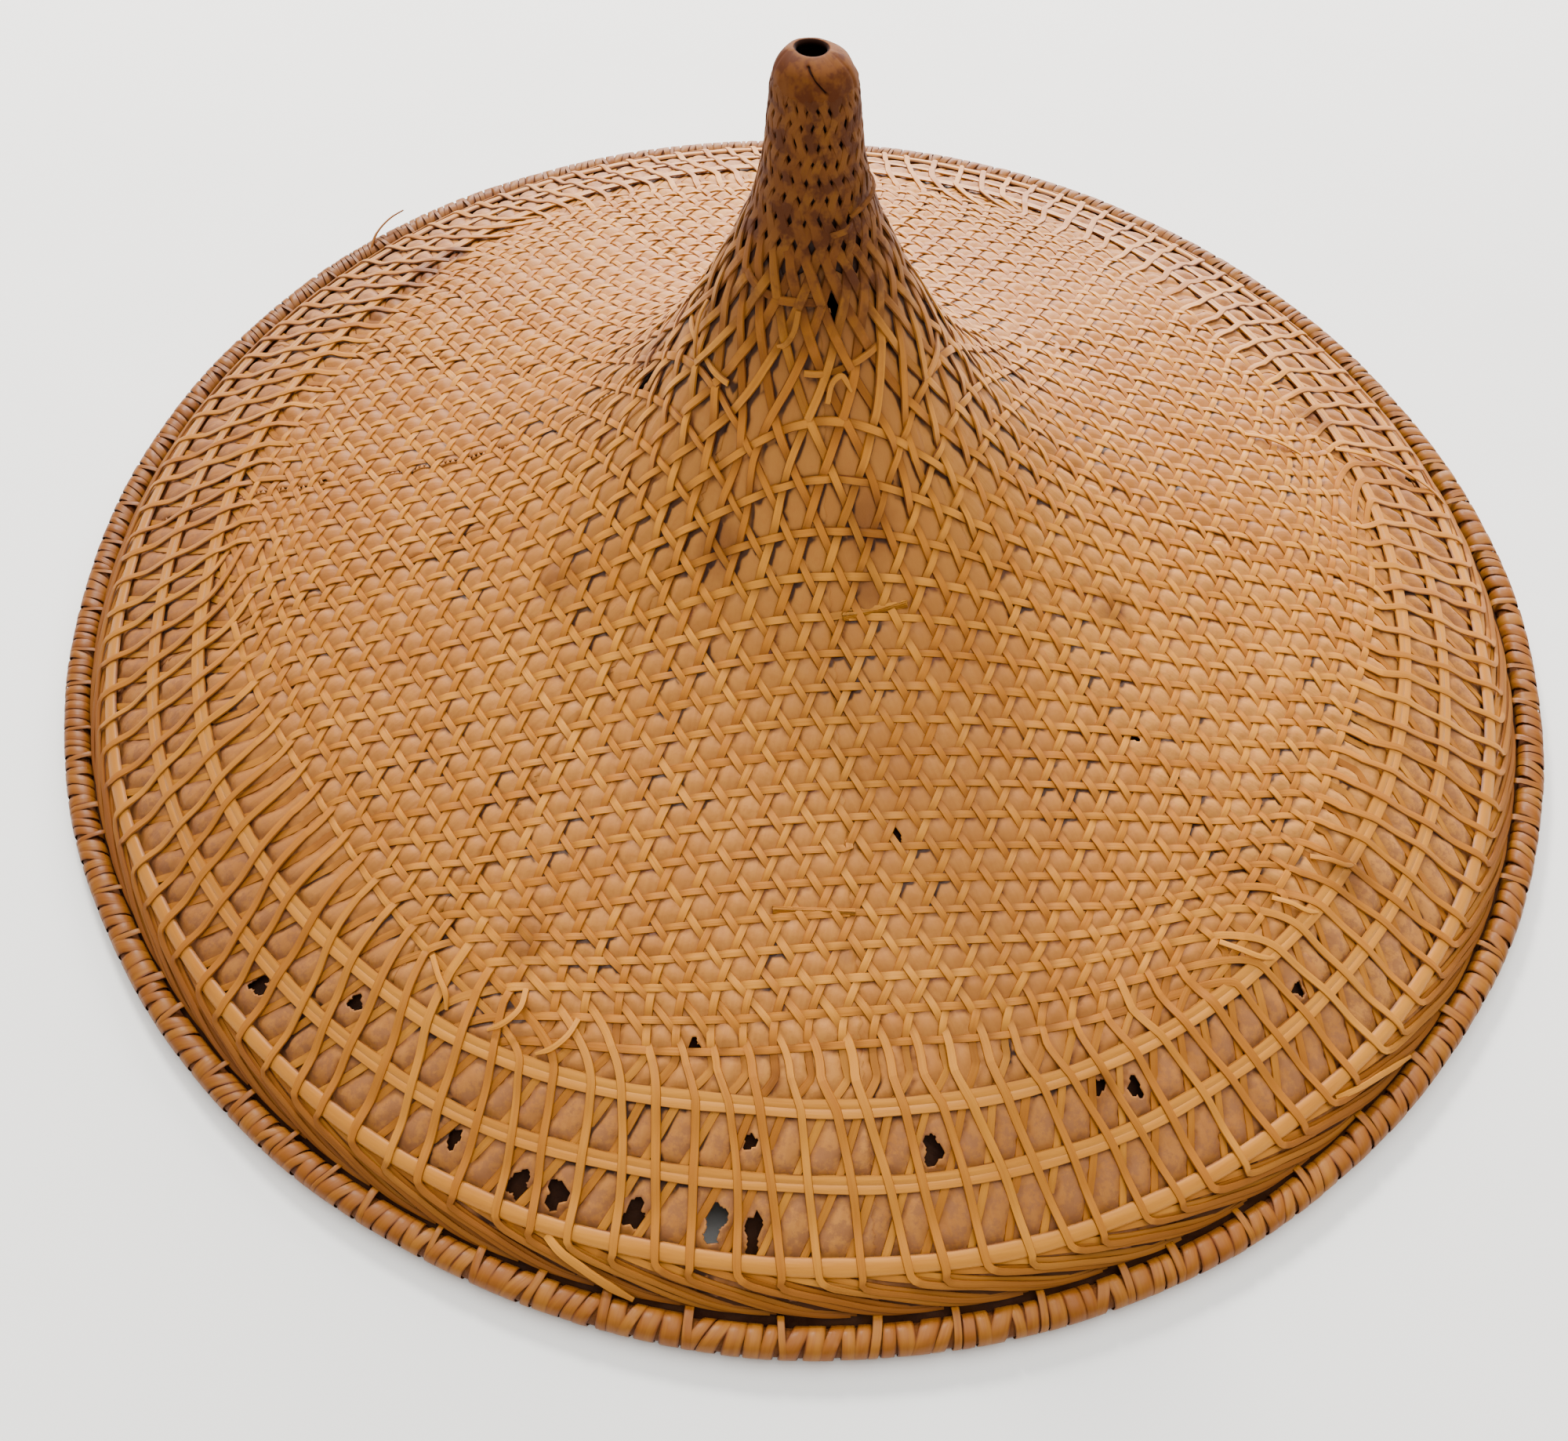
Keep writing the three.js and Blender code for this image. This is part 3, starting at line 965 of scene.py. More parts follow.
class HAT_OT_strands(bpy.types.Operator):
    """Weave the strands of the three ways"""

    bl_idname = "hat.strands"
    bl_label = "Woven strands"

    def execute(self, context):
        sizes = context.scene.hat_sizes
        material = rattan("woven rattan", context.scene.hat_colours)
        rng = np.random.default_rng(11)
        batches = [Batch() for _ in STRAND_PIECES]
        for strand in weave_of(context.scene):
            rings = worn(strand_rings(strand, sizes.strand_width, sizes.strand_thickness, rng))
            # The depth sets the painted shade: lower under a crossing is darker, and the turned ends in the
            # plait are painted darker still
            depth = (strand.over - WEAVE_MIDDLE) / CROSSING_LIFT
            depth = np.where(strand.radius() > SHOULDER_START, np.clip(depth, -0.10, 0.25), depth)
            depth = np.where(strand.radius() > PLAIT_START, -0.90, depth)
            across = STRAND_SECTION[:, 0] / 2 + 0.5
            batches[strand.family].add(rings, strand.run, across, rng.uniform(0, 1), depth)
        for name, batch in zip(STRAND_PIECES, batches):
            batch.piece(name, material, "weave", WEAVE_NODES)
        return {"FINISHED"}


# Sections of the hoops, in half widths and half heights: two flat splints side by side, and a cane
FLAT_SPLINTS = np.array([(-0.98, 0.75), (-0.6, 0.95), (-0.04, 0.95), (0.0, 0.65), (0.04, 0.95),
                         (0.6, 0.95), (0.98, 0.75), (1.0, -1.0), (-1.0, -1.0)])
CANE_TURN = np.linspace(math.pi, 0, 9)
ROUND_CANE = np.stack([np.cos(CANE_TURN), np.sin(CANE_TURN) ** 0.7 * 1.6 - 0.6], axis=1)

# The hoops from the upper to the lower: piece, node, section, width, height
HOOPS = (
    ("upper_hoop_splints", "upper_hoop", FLAT_SPLINTS, 0.0043, 0.00048),
    ("middle_hoop_splints", "middle_hoop", FLAT_SPLINTS, 0.0041, 0.00048),
    ("lower_hoop_cane", "lower_hoop", ROUND_CANE, 0.0044, 0.00135),
)

# Points round a hoop in its mesh, and in the leaves' search for what lies over them
HOOP_STEPS = 440
HOOP_MARKS = 900


class HAT_OT_hoops(bpy.types.Operator):
    """Lay the three hoops round the shoulder"""

    bl_idname = "hat.hoops"
    bl_label = "Hoops"

    def execute(self, context):
        material = rattan("hoop cane", context.scene.hat_colours, coat=0.06, specular=0.24, wear=0.07)
        rng = np.random.default_rng(5)
        angle = np.linspace(0, 2 * math.pi, HOOP_STEPS, endpoint=False)
        for hoop, (name, node, section, width, height) in enumerate(HOOPS):
            batch = Batch()
            phase = rng.uniform(0, 6, 3)
            sway = 0.00015 * np.sin(9 * angle + phase[0]) + 0.0001 * np.sin(23 * angle + phase[1])
            length = PROFILE.at_radius(course(hoop, angle) + sway)
            centres = straight_on_hat(length, angle, HOOP_FOOT + height / 2)
            widths = width * (1 + 0.05 * np.sin(31 * (angle + angle[1]) + phase[2]))
            rings = worn(round_ribbon(centres, outward(length, angle), widths, height, section))
            across = section[:, 0] / 2 + 0.5
            batch.add(rings, angle * 0.18, across, rng.uniform(0.75, 1), 1.0, closed=True)
            batch.piece(name, material, "hoop", (node,))
        return {"FINISHED"}


LEAVES = 9
LEAF_INNER = 0.0165
LEAF_OUTER = 0.2110

# How the leaves lie: how far before the x axis the first begins, as a share of a turn, how far each
# laps over its neighbours at the rim, and how far it sinks from its first edge to its last
FIRST_LEAF = 0.013
LEAF_LAP = 0.006
LEAF_SINK = -0.00025

# How far a leaf's first edge is pressed down on the leaf below, and over what width
EDGE_DIP = 0.00045
EDGE_DIP_START = 0.0008
EDGE_DIP_WIDTH = 0.0030

# Height over the weave's face that the leaves bulge up to in the middle of an eye, by radius
LEAF_TOPS = (
    (0.0165, -0.00130), (0.0300, -0.00110), (0.0450, -0.00060), (0.0650, -0.00010), (0.1000, 0.00005),
    (0.1600, 0.00010), (0.1720, 0.00030), (0.1930, 0.00030), (0.1990, -0.00060), (0.2030, -0.00220),
    (0.2110, -0.00290),
)
LEAF_BELOW_STRAND = 0.00034
LEAF_BELOW_HOOP = -0.00105

# How a leaf rises beside a strand: how far from the strand's middle it starts, over what distance
# it comes up to its top, and how steeply
BULGE_START = 0.0009
BULGE_REACH = 0.0026
BULGE_POWER = 3.6

# Half the width that a strand holds down, and how uneven the leaves' tops are
HELD_DOWN = 0.0010
LEAF_UNEVEN = 0.00016

# The side of each strand where its shadow falls, how far the painted shade beside a strand reaches, and how
# much painted shadow is added on that side and in the flare
LEE_SIDE = Vector((0.45, -0.89, 0.0))
SHADE_REACH = 0.0009
LEE_REACH = 0.0009
FLARE_REACH = 0.0007
CREVICE_SHADE = 0.55
LEE_SHADE = 0.45
FLARE_SHADE = 0.25
FLARE_OUTER = 0.095
FLARE_FADE = 0.040

# How far out the leaves are painted all but black as the shade under the plait, and over what distance they
# turn so
BLACK_FROM = 0.2035
BLACK_FADE = 0.001
SIX_WAYS = ((1, 0), (-1, 0), (0, 1), (0, -1), (1, -1), (-1, 1))

# Torn places in the leaves: angle in degrees, radius, width, length
TORN_HOLES = (
    (319.6, 0.1100, 0.0032, 0.0036), (319.6, 0.1238, 0.0022, 0.0030), (283.1, 0.1088, 0.0028, 0.0036),
    (287.7, 0.0190, 0.0026, 0.0034), (262.8, 0.1565, 0.0024, 0.0028), (268.1, 0.1740, 0.0028, 0.0030),
    (281.6, 0.1765, 0.0040, 0.0064), (298.0, 0.1756, 0.0030, 0.0042), (295.3, 0.1722, 0.0034, 0.0030),
    (314.5, 0.1778, 0.0032, 0.0034), (252.5, 0.1930, 0.0052, 0.0056), (255.2, 0.1922, 0.0046, 0.0060),
    (260.7, 0.1916, 0.0050, 0.0058), (266.1, 0.1900, 0.0046, 0.0084), (268.8, 0.1915, 0.0034, 0.0084),
    (247.1, 0.1900, 0.0030, 0.0044), (235.4, 0.1779, 0.0036, 0.0036), (228.0, 0.1898, 0.0050, 0.0046),
    (186.5, 0.0410, 0.0046, 0.0072), (214.5, 0.1227, 0.0018, 0.0020), (15.2, 0.1914, 0.0040, 0.0050),
)

# Round a torn place: how far out its leaf is cut finer, and how far out points may be cut away
FINE_REACH = 0.0042
TEAR_REACH = 0.007

# Torn places that go right through, and the depth of the scraps of the inner layer below the rest,
# with their sides and how far they reach past the tear
OPEN_HOLES = ((266.1, 0.1900), (287.7, 0.0190))
SCRAP_OVER = -0.00290
SCRAP_SIDES = 12
SCRAP_THICKNESS = 0.00025
SCRAP_PAST_LENGTH = 0.0030
SCRAP_PAST_WIDTH = 0.0026

# Where the spire's leaf begins and ends, as radii of the weave's face, and how far it lies below
SPIRE_LEAF_TOP = 0.0096
SPIRE_LEAF_FOOT = 0.0190
SPIRE_LEAF_BELOW = -0.0018
SPIRE_LEAF_THICKNESS = 0.0003
SPIRE_LEAF_SIDES = 32
SPIRE_LEAF_RINGS = 22


def weave_tree(scene):
    """Finds the nearest strand or hoop to a place on the face, and the height of its underside"""
    rows = []
    floors = []
    for strand in weave_of(scene):
        rows.append(strand.points())
        floors.append(np.minimum(strand.over, 0.0) - LEAF_BELOW_STRAND)
    angle = np.linspace(0, 2 * math.pi, HOOP_MARKS, endpoint=False)
    for hoop in range(3):
        for shift in (-0.0012, 0.0012):
            rows.append(straight_on_hat(PROFILE.at_radius(course(hoop, angle) + shift), angle))
            floors.append(np.full(len(angle), LEAF_BELOW_HOOP))
    return tree_of(np.concatenate(rows)), np.concatenate(floors)


def leaf_grid(spacing):
    """A six-sided grid of plan points that falls in step with the weave's eyes"""
    side = spacing / math.cos(math.pi / 6) / 6
    reach = int(LEAF_OUTER / side * 1.25)
    turn = math.radians(ROW_DIRECTIONS[0])
    step_a = side * np.array([math.cos(turn), math.sin(turn)])
    step_b = side * np.array([math.cos(turn + math.pi / 3), math.sin(turn + math.pi / 3)])
    a, b = np.meshgrid(np.arange(-reach, reach + 1), np.arange(-reach, reach + 1), indexing="ij")
    plan = a[..., None] * step_a + b[..., None] * step_b
    index = np.arange(a.size).reshape(a.shape)
    lower = np.stack([index[:-1, :-1], index[1:, :-1], index[:-1, 1:]], axis=-1).reshape(-1, 3)
    upper = np.stack([index[1:, :-1], index[1:, 1:], index[:-1, 1:]], axis=-1).reshape(-1, 3)
    return plan, np.concatenate([lower, upper])


def smoothed(values, times):
    for _ in range(times):
        around = sum(np.roll(values, way, axis=(0, 1)) for way in SIX_WAYS) / 6
        values = values * 0.5 + around * 0.5
    return values


# Distances from the middle between which the leaves turn dull
DULL_FROM = 0.160
DULL_TO = 0.176

# The leaves' golden brown in the flare
FLARE_LEAF = (0.36, 0.145, 0.024, 1.0)


def leaf_material(colours):
    """Dried leaf: fine veins along it, blotches, and painted shade beside the strands where its depth is
    near 1; past that it is painted all but black as deep shade"""
    pale, brown, dull, stain_and_shade = (colour4(part) for part in (
        colours.leaf, colours.leaf_brown, colours.leaf_dull, colours.stain_and_shade))
    graph = Graph("dried leaf")
    uv = graph.node("ShaderNodeUVMap", {"uv_map": "Leaf"})
    along, across, _ = graph.parts(uv)
    tone = graph.attribute("tone")
    edge = graph.attribute("depth")
    here = graph.node("ShaderNodeTexCoord", output="Object")
    height = graph.parts(here)[2]
    vein = graph.noise(graph.vector(along * 22, across * 900, tone * 11), 1.0, 2.0)
    patch = graph.noise(here, 60.0, 4.0, 0.65)
    broad = graph.noise(here, 11.0, 3.0)
    shade = patch * 0.5 + broad * 0.4 + vein * 0.25 + (tone - 0.5) * 0.35
    colour = graph.mix(graph.between(shade, 0.30, 0.85), brown, pale)
    flare = graph.between(height, 0.054, 0.078)
    colour = graph.mix(flare * (0.35 + patch * 0.35), colour, FLARE_LEAF)
    patchy_shade = 0.45 + graph.between(graph.noise(here, 95.0, 2.0), 0.42, 0.62) * 0.55
    # Painted shade and painted shadow beside the strands, in patches
    colour = graph.mix(graph.between(edge, 0.05, 0.85) * patchy_shade, colour, stain_and_shade)
    # Painted black slits of shade beside the strands, in patches, more of them in the flare
    steep = graph.between(height, 0.066, 0.100) * 0.22
    shade_slots = graph.between(graph.noise(here, 48.0, 1.0) + steep, 0.57, 0.65) * graph.between(edge, 0.30, 0.60)
    grain = graph.noise(here, 330.0, 3.0, 0.7)
    colour = graph.mix(graph.between(grain, 0.46, 0.66) * 0.45, colour, brown)
    outer = graph.between(graph.plan_radius(here), DULL_FROM, DULL_TO)
    mottle = graph.between(graph.noise(here, 260.0, 5.0, 0.75), 0.44, 0.58)
    colour = graph.mix(outer * (0.22 + mottle * 0.58), colour, dull)
    # The leaves darken up the spire like the strands: partly their own colour, partly painted shade
    climb = graph.between(height + (patch - 0.5) * 0.03, SPIRE_DARK_FROM, SPIRE_DARK_TO)
    colour = graph.mix(climb * 0.75, colour, SPIRE_BROWN_AND_SHADE)
    colour = graph.mix(graph.stains_and_left_shade(here, patch), colour, stain_and_shade)
    # Painted all but black: the slits, and the deep shade under the plait, inside the spire and below the
    # torn places
    black = shade_slots.math("MAXIMUM", graph.between(edge, 1.1, 1.8)) * 0.9
    colour = graph.mix(black, colour, colour4(stain_and_shade, BLACK_SHADE))
    roughness = 0.46 + grain * 0.22 + outer * 0.08
    normal = graph.bump(vein * 0.6 + patch + grain * 0.6, 0.00020)
    return graph.finish(colour, roughness, normal, 0.0, specular=0.24)


class HAT_OT_leaves(bpy.types.Operator):
    """Press the dried leaves up under the weave"""

    bl_idname = "hat.leaves"
    bl_label = "Leaf lining"

    def execute(self, context):
        sizes = context.scene.hat_sizes
        material = leaf_material(context.scene.hat_colours)
        plan, triangles = leaf_grid(sizes.row_spacing)
        radius = np.hypot(plan[..., 0], plan[..., 1])
        angle = np.arctan2(plan[..., 1], plan[..., 0])
        kept = (radius > LEAF_INNER) & (radius < LEAF_OUTER)
        over, crevice_shade = self.pressed(context.scene, radius, angle, kept)
        radius, angle, over, crevice_shade = (part.ravel() for part in (radius, angle, over, crevice_shade))
        length = PROFILE.at_radius(radius)
        triangles = triangles[kept.ravel()[triangles].all(axis=1)]
        turn = (angle[triangles].mean(axis=1) / (2 * math.pi) + FIRST_LEAF) % 1.0
        lap = LEAF_LAP / LEAF_OUTER / (2 * math.pi)
        rng = np.random.default_rng(3)
        for leaf in range(LEAVES):
            middle = (leaf + 0.5) / LEAVES
            apart = np.abs((turn - middle + 0.5) % 1.0 - 0.5)
            own = triangles[apart < 0.5 / LEAVES + lap]
            used, local = np.unique(own, return_inverse=True)
            own_angle = (angle[used] - middle * 2 * math.pi + math.pi) % (2 * math.pi) - math.pi
            sink = LEAF_SINK * (own_angle * LEAVES / (2 * math.pi) + 0.5)
            inside = (math.pi / LEAVES + lap * 2 * math.pi + own_angle) * radius[used]
            sink = sink - EDGE_DIP * (1 - smoothstep((inside - EDGE_DIP_START) / EDGE_DIP_WIDTH))
            points = worn(straight_on_hat(length[used], angle[used], over[used] + sink))
            mesh = bpy.data.meshes.new(f"leaf_{leaf + 1}")
            mesh.from_pydata(points.tolist(), [], local.reshape(-1, 3).tolist())
            flat = np.stack([radius[used] * np.cos(own_angle), radius[used] * np.sin(own_angle)], axis=1)
            set_map(mesh, "Leaf", flat)
            set_values(mesh, "tone", rng.uniform(0, 1))
            set_values(mesh, "depth", crevice_shade[used])
            self.tear(mesh)
            mesh.shade_smooth()
            piece = place_piece(f"leaf_{leaf + 1}", mesh, material, ("leaf_lining",))
            thick = piece.modifiers.new("thickness", "SOLIDIFY")
            thick.thickness = sizes.leaf_thickness
            thick.offset = -1.0
        self.backing(material)
        self.spire_leaf(material)
        return {"FINISHED"}

    def backing(self, material):
        """Scraps of the inner leaf layer below the torn places, painted all but black as the shade inside
        the hat
        """
        batch = Batch()
        rng = np.random.default_rng(31)
        turn = np.linspace(0, 2 * math.pi, SCRAP_SIDES, endpoint=False)
        for degrees, middle, width, length in TORN_HOLES:
            if (degrees, middle) in OPEN_HOLES:
                continue
            ragged = rng.uniform(0.85, 1.25, SCRAP_SIDES)
            radius = middle + ragged * (length / 2 + SCRAP_PAST_LENGTH) * np.sin(turn)
            across = ragged * (width / 2 + SCRAP_PAST_WIDTH) * np.cos(turn)
            angle = math.radians(degrees) + across / middle
            rings = [straight_on_hat(PROFILE.at_radius(radius), angle, SCRAP_OVER - drop)
                     for drop in (0.0, SCRAP_THICKNESS)]
            batch.add(worn(np.stack(rings)), np.array([0.0, 0.01]), turn / 7, 0.2, 2.0)
        batch.piece("leaf_scraps", material, "leaf", ("leaf_lining",), map_name="Leaf")

    def spire_leaf(self, material):
        """The rolled leaf, painted all but black as the shade inside the spire, that closes the spire behind
        its strands
        """
        batch = Batch()
        turn = np.linspace(0, 2 * math.pi, SPIRE_LEAF_SIDES, endpoint=False)
        top, foot = PROFILE.at_radius(SPIRE_LEAF_TOP), PROFILE.at_radius(SPIRE_LEAF_FOOT)
        length = np.linspace(top, foot, SPIRE_LEAF_RINGS)
        down = np.concatenate([length, length[::-1]])
        over = np.repeat([SPIRE_LEAF_BELOW, SPIRE_LEAF_BELOW - SPIRE_LEAF_THICKNESS], len(length))
        rings = [straight_on_hat(down, np.full(len(down), angle), over) for angle in turn]
        batch.add(worn(np.stack(rings)), turn * 0.01, down, 0.2, 2.0, closed=True)
        batch.piece("spire_leaf", material, "leaf", ("leaf_lining",), map_name="Leaf")

    def pressed(self, scene, radius, angle, kept):
        """Height of the leaves over the weave's face, and how much painted shade each point gets for lying
        in a crevice beside a strand
        """
        tree, floors = weave_tree(scene)
        face = straight_on_hat(PROFILE.at_radius(radius), angle)
        away = np.full(radius.shape, 0.003)
        lee = np.zeros(radius.shape)
        floor = np.full(radius.shape, -0.0014)
        for place in np.argwhere(kept):
            here = Vector(face[tuple(place)])
            found, nearest, distance = tree.find(here)
            away[tuple(place)] = distance
            floor[tuple(place)] = floors[nearest]
            lee[tuple(place)] = (here - found).normalized().dot(LEE_SIDE)
        tops = np.interp(radius, *np.array(LEAF_TOPS).T)
        rng = np.random.default_rng(17)
        uneven = smoothed(rng.normal(size=radius.shape), 8)
        tops = tops + LEAF_UNEVEN * uneven / uneven.std()
        rise = np.clip((away - BULGE_START) / BULGE_REACH, 0, 1)
        over = floor + (tops - floor) * (1 - (1 - rise) ** BULGE_POWER)
        flare = np.clip((FLARE_OUTER - radius) / FLARE_FADE, 0, 1)
        # Painted shade near each strand, reaching farther and darker on its shadow side and in the flare
        reach = SHADE_REACH + (LEE_REACH + FLARE_REACH * flare) * np.clip(lee, 0, 1)
        near = 1 - np.clip((away - BULGE_START) / reach, 0, 1)
        crevice_shade = near * (CREVICE_SHADE + (LEE_SHADE + FLARE_SHADE * flare) * lee)
        # All but black as painted shade under the plait
        crevice_shade = np.maximum(crevice_shade, 2.0 * np.clip((radius - BLACK_FROM) / BLACK_FADE, 0, 1))
        return np.minimum(smoothed(over, 1), np.where(away < HELD_DOWN, floor, 1.0)), crevice_shade

    def tear(self, mesh):
        """Cuts the torn places out of a leaf"""
        shape = bmesh.new()
        shape.from_mesh(mesh)
        rng = np.random.default_rng(8)
        for degrees, middle, width, length in TORN_HOLES:
            phase = rng.uniform(0, 6, 2)
            turn = math.radians(degrees)
            centre = worn(straight_on_hat(PROFILE.at_radius(middle), turn))
            across = Vector((-math.sin(turn), math.cos(turn), 0))
            out = Vector((math.cos(turn), math.sin(turn), 0))
            near = [vert for vert in shape.verts if (vert.co - Vector(centre)).length < FINE_REACH]
            if not near:
                continue
            edges = {edge for vert in near for edge in vert.link_edges}
            bmesh.ops.subdivide_edges(shape, edges=list(edges), cuts=2, use_grid_fill=True)
            bmesh.ops.triangulate(shape, faces=[face for face in shape.faces if len(face.verts) > 4])
            gone = []
            for vert in shape.verts:
                away = vert.co - Vector(centre)
                if away.length > TEAR_REACH:
                    continue
                side = away.dot(across) / (width / 2)
                along = away.dot(out) / (length / 2)
                around = math.atan2(along, side)
                ragged = 1 + 0.22 * math.sin(3 * around + phase[0]) + 0.12 * math.sin(5 * around + phase[1])
                if math.hypot(side, along) < 0.94 * ragged:
                    gone.append(vert)
            bmesh.ops.delete(shape, geom=gone, context="VERTS")
        shape.to_mesh(mesh)
        shape.free()


RIM_WIDTH = 0.0078
RIM_HEIGHT = 0.0076
RIM_MIDDLE = RIM_RADIUS - RIM_WIDTH / 2
CORE_RADIUS = 0.0031
CORE_SIDES = 10
CORE_STEPS = 180

# Turns of the splint between two lashings: fewest, and one more than the most
TURNS_BETWEEN = (3, 6)

# Where the turns are broadest, and between which angles they lie snug against each other
BROADEST = math.radians(310)
SNUG_FROM, SNUG_TO = math.radians(195), math.radians(258)
SNUG_CROWN = 0.45

# Height of a turn's crown over its edges, and the splint's section: across, and share of the crown
CROWN = 0.00019
WRAP_SECTION = np.array([(-0.5, 0.0), (-0.45, 0.85), (0.0, 1.0), (0.45, 0.85), (0.5, 0.0)])

# Angles round the rim's section, and how far a turn's edges stand in from the rim's full size
WRAP_TURN = np.linspace(0, 2 * math.pi, 16, endpoint=False)[::-1]
WRAP_INSET = 0.00045

# The rim's section is between round and square: 2 would be round
RIM_BULK = 2.4

# How far in and up a lashing reaches over the plait
LASHING_REACH = 0.0017
LASHING_LIFT = 0.0015

# Waves of the hand-bent rim: size, times round the hat, phase, and how far the whole stands in
RIM_WAVES = ((0.00032, 3, 0.8), (0.00026, 5, 2.1), (0.00018, 11, 0.3), (0.00010, 23, 0.0))
RIM_INSET = 0.0002


def rim_sway(angle):
    """How far the rim hoop stands outside its true round"""
    return sum(size * np.sin(times * angle + phase) for size, times, phase in RIM_WAVES) - RIM_INSET


class HAT_OT_binding(bpy.types.Operator):
    """Wind the splint round the rim hoop"""

    bl_idname = "hat.binding"
    bl_label = "Rim binding"

    def execute(self, context):
        # The binding's turns get a wider band of painted shade along their edges, for the dark gaps between
        # them
        material = rattan("binding splint", context.scene.hat_colours, wear=0.12, edge_shade_from=0.34, grain=1.1)
        self.core(material)
        self.wraps(context.scene.hat_sizes, material)
        return {"FINISHED"}

    def core(self, material):
        shape = bmesh.new()
        circle = bmesh.ops.create_circle(shape, segments=CORE_SIDES, radius=CORE_RADIUS)
        middle = Matrix.Translation((RIM_MIDDLE, 0, RIM_HEIGHT / 2))
        stand = middle @ Matrix.Rotation(math.pi / 2, 4, "X")
        bmesh.ops.transform(shape, matrix=stand, verts=circle["verts"])
        edges = list(shape.edges)
        bmesh.ops.spin(shape, geom=circle["verts"] + edges, axis=(0, 0, 1), cent=(0, 0, 0),
                       angle=2 * math.pi, steps=CORE_STEPS, use_merge=True)
        bmesh.ops.recalc_face_normals(shape, faces=shape.faces)
        for vert in shape.verts:
            out = math.hypot(vert.co.x, vert.co.y)
            wider = 1 + rim_sway(math.atan2(vert.co.y, vert.co.x)) / out
            vert.co.x, vert.co.y = vert.co.x * wider, vert.co.y * wider
        mesh = mesh_of("rim_core", shape)
        mesh.shade_smooth()
        mesh.uv_layers.new(name="Strand")
        set_values(mesh, "tone", 0.1)
        # The core shows only in the gaps between the turns, and is painted darker there as shade
        set_values(mesh, "depth", -1.0)
        place_piece("rim_core", mesh, material, ("rim_binding",))

    def wraps(self, sizes, material):
        """Winds the splint: two or three turns round the rim, then one that reaches in over the plait"""
        rng = np.random.default_rng(21)
        wraps = Batch()
        lashings = Batch()
        angle = 0.0
        turns_left = TURNS_BETWEEN[0]
        while angle < 2 * math.pi:
            lashes = turns_left == 0
            broad = 1.0 + 0.24 * math.cos(angle - BROADEST) + 0.1 * math.sin(7 * angle)
            share = rng.uniform(0.42, 0.66) if lashes else rng.uniform(0.70, 1.25)
            width = sizes.wrap_width * broad * share
            crown = CROWN * rng.uniform(0.6, 1.4) * (SNUG_CROWN if SNUG_FROM < angle < SNUG_TO else 1.0)
            lean = rng.uniform(-0.0006, 0.0012) if lashes else rng.uniform(-0.0002, 0.0022)
            centre = angle + width / RIM_MIDDLE / 2
            rings = wrap_rings(centre, width, crown, lean, 1.0 if lashes else 0.0)
            batch = lashings if lashes else wraps
            across = WRAP_SECTION[:, 0] + 0.5
            batch.add(rings, WRAP_TURN * 0.004 + angle, across, rng.uniform(0, 1), 1.0, closed=True)
            angle += (width + rng.uniform(0.00002, 0.00026)) / RIM_MIDDLE
            turns_left = int(rng.integers(*TURNS_BETWEEN)) if lashes else turns_left - 1
        wraps.piece("rim_wraps", material, "binding", ("rim_binding",))
        lashings.piece("rim_lashings", material, "binding", ("rim_binding",))


def wrap_rings(centre, width, crown, lean, reach):
    """Points of one turn of the splint round the rim; a lashing's inner side reaches over the plait"""
    cos, sin = np.cos(WRAP_TURN), np.sin(WRAP_TURN)
    size = (np.abs(cos) ** RIM_BULK + np.abs(sin) ** RIM_BULK) ** (-1 / RIM_BULK)
    inner = np.clip(-cos, 0, 1) ** 2 * reach
    rings = []
    for across, up in WRAP_SECTION:
        radius = RIM_MIDDLE + (RIM_WIDTH / 2 - WRAP_INSET + crown * up) * size * cos
        radius = radius - (LASHING_REACH + crown * up) * inner + rim_sway(centre)
        height = RIM_HEIGHT / 2 + 0.0001 + (RIM_HEIGHT / 2 - WRAP_INSET + crown * up) * size * sin
        height = height + LASHING_LIFT * inner
        turn = centre + (across * width - lean * cos) / RIM_MIDDLE
        rings.append(np.stack([radius * np.cos(turn), radius * np.sin(turn), height], axis=-1))
    return np.stack(rings, axis=1)


# The cap's wall, up its inside and down its outside: radius, height
CAP_OUTLINE = (
    (0.0068, 0.1758), (0.0066, 0.1770), (0.0056, 0.1785), (0.0043, 0.1796), (0.0034, 0.1803),
    (0.0032, 0.1809), (0.0036, 0.1815), (0.0046, 0.1815), (0.0059, 0.1810), (0.0072, 0.1800),
    (0.0081, 0.1786), (0.0087, 0.1771), (0.0089, 0.1758), (0.0086, 0.1751), (0.0077, 0.1750),
)
CAP_RINGS = 52
CAP_ROUNDS = 144

# Radius that parts the cap's outer face from its inner one, which is painted all but black as the shade in
# the hole: height, radius
CAP_WALL = ((0.1750, 0.0075), (0.1786, 0.0066), (0.1803, 0.0046), (0.1812, 0.0040), (0.1816, 0.0038))

# Splints folded round the cap, how far each goes round for a metre of height, and the creases
# between them, in half widths of a splint and in depth
CAP_FOLDS = 5
FOLD_TURN = 12
CREASE_START = 0.86
CREASE_WIDTH = 0.12
CREASE_DEPTH = 0.00012

# The cap's edge round its hole, and its lower edge, which is ragged
HOLE_EDGE = 0.0036
LOW_EDGE = 0.1790

# How far the hole sits behind the tip's middle, and how far the cap's back is lower than its front
HOLE_SHIFT = 0.0015
BACK_DROP = 0.0010

# The slit in the cap: angle at its top and foot, height of its top and foot, half width, depth
SLIT = (math.radians(262), math.radians(290), 0.1810, 0.1773, 0.00030, 0.00050)


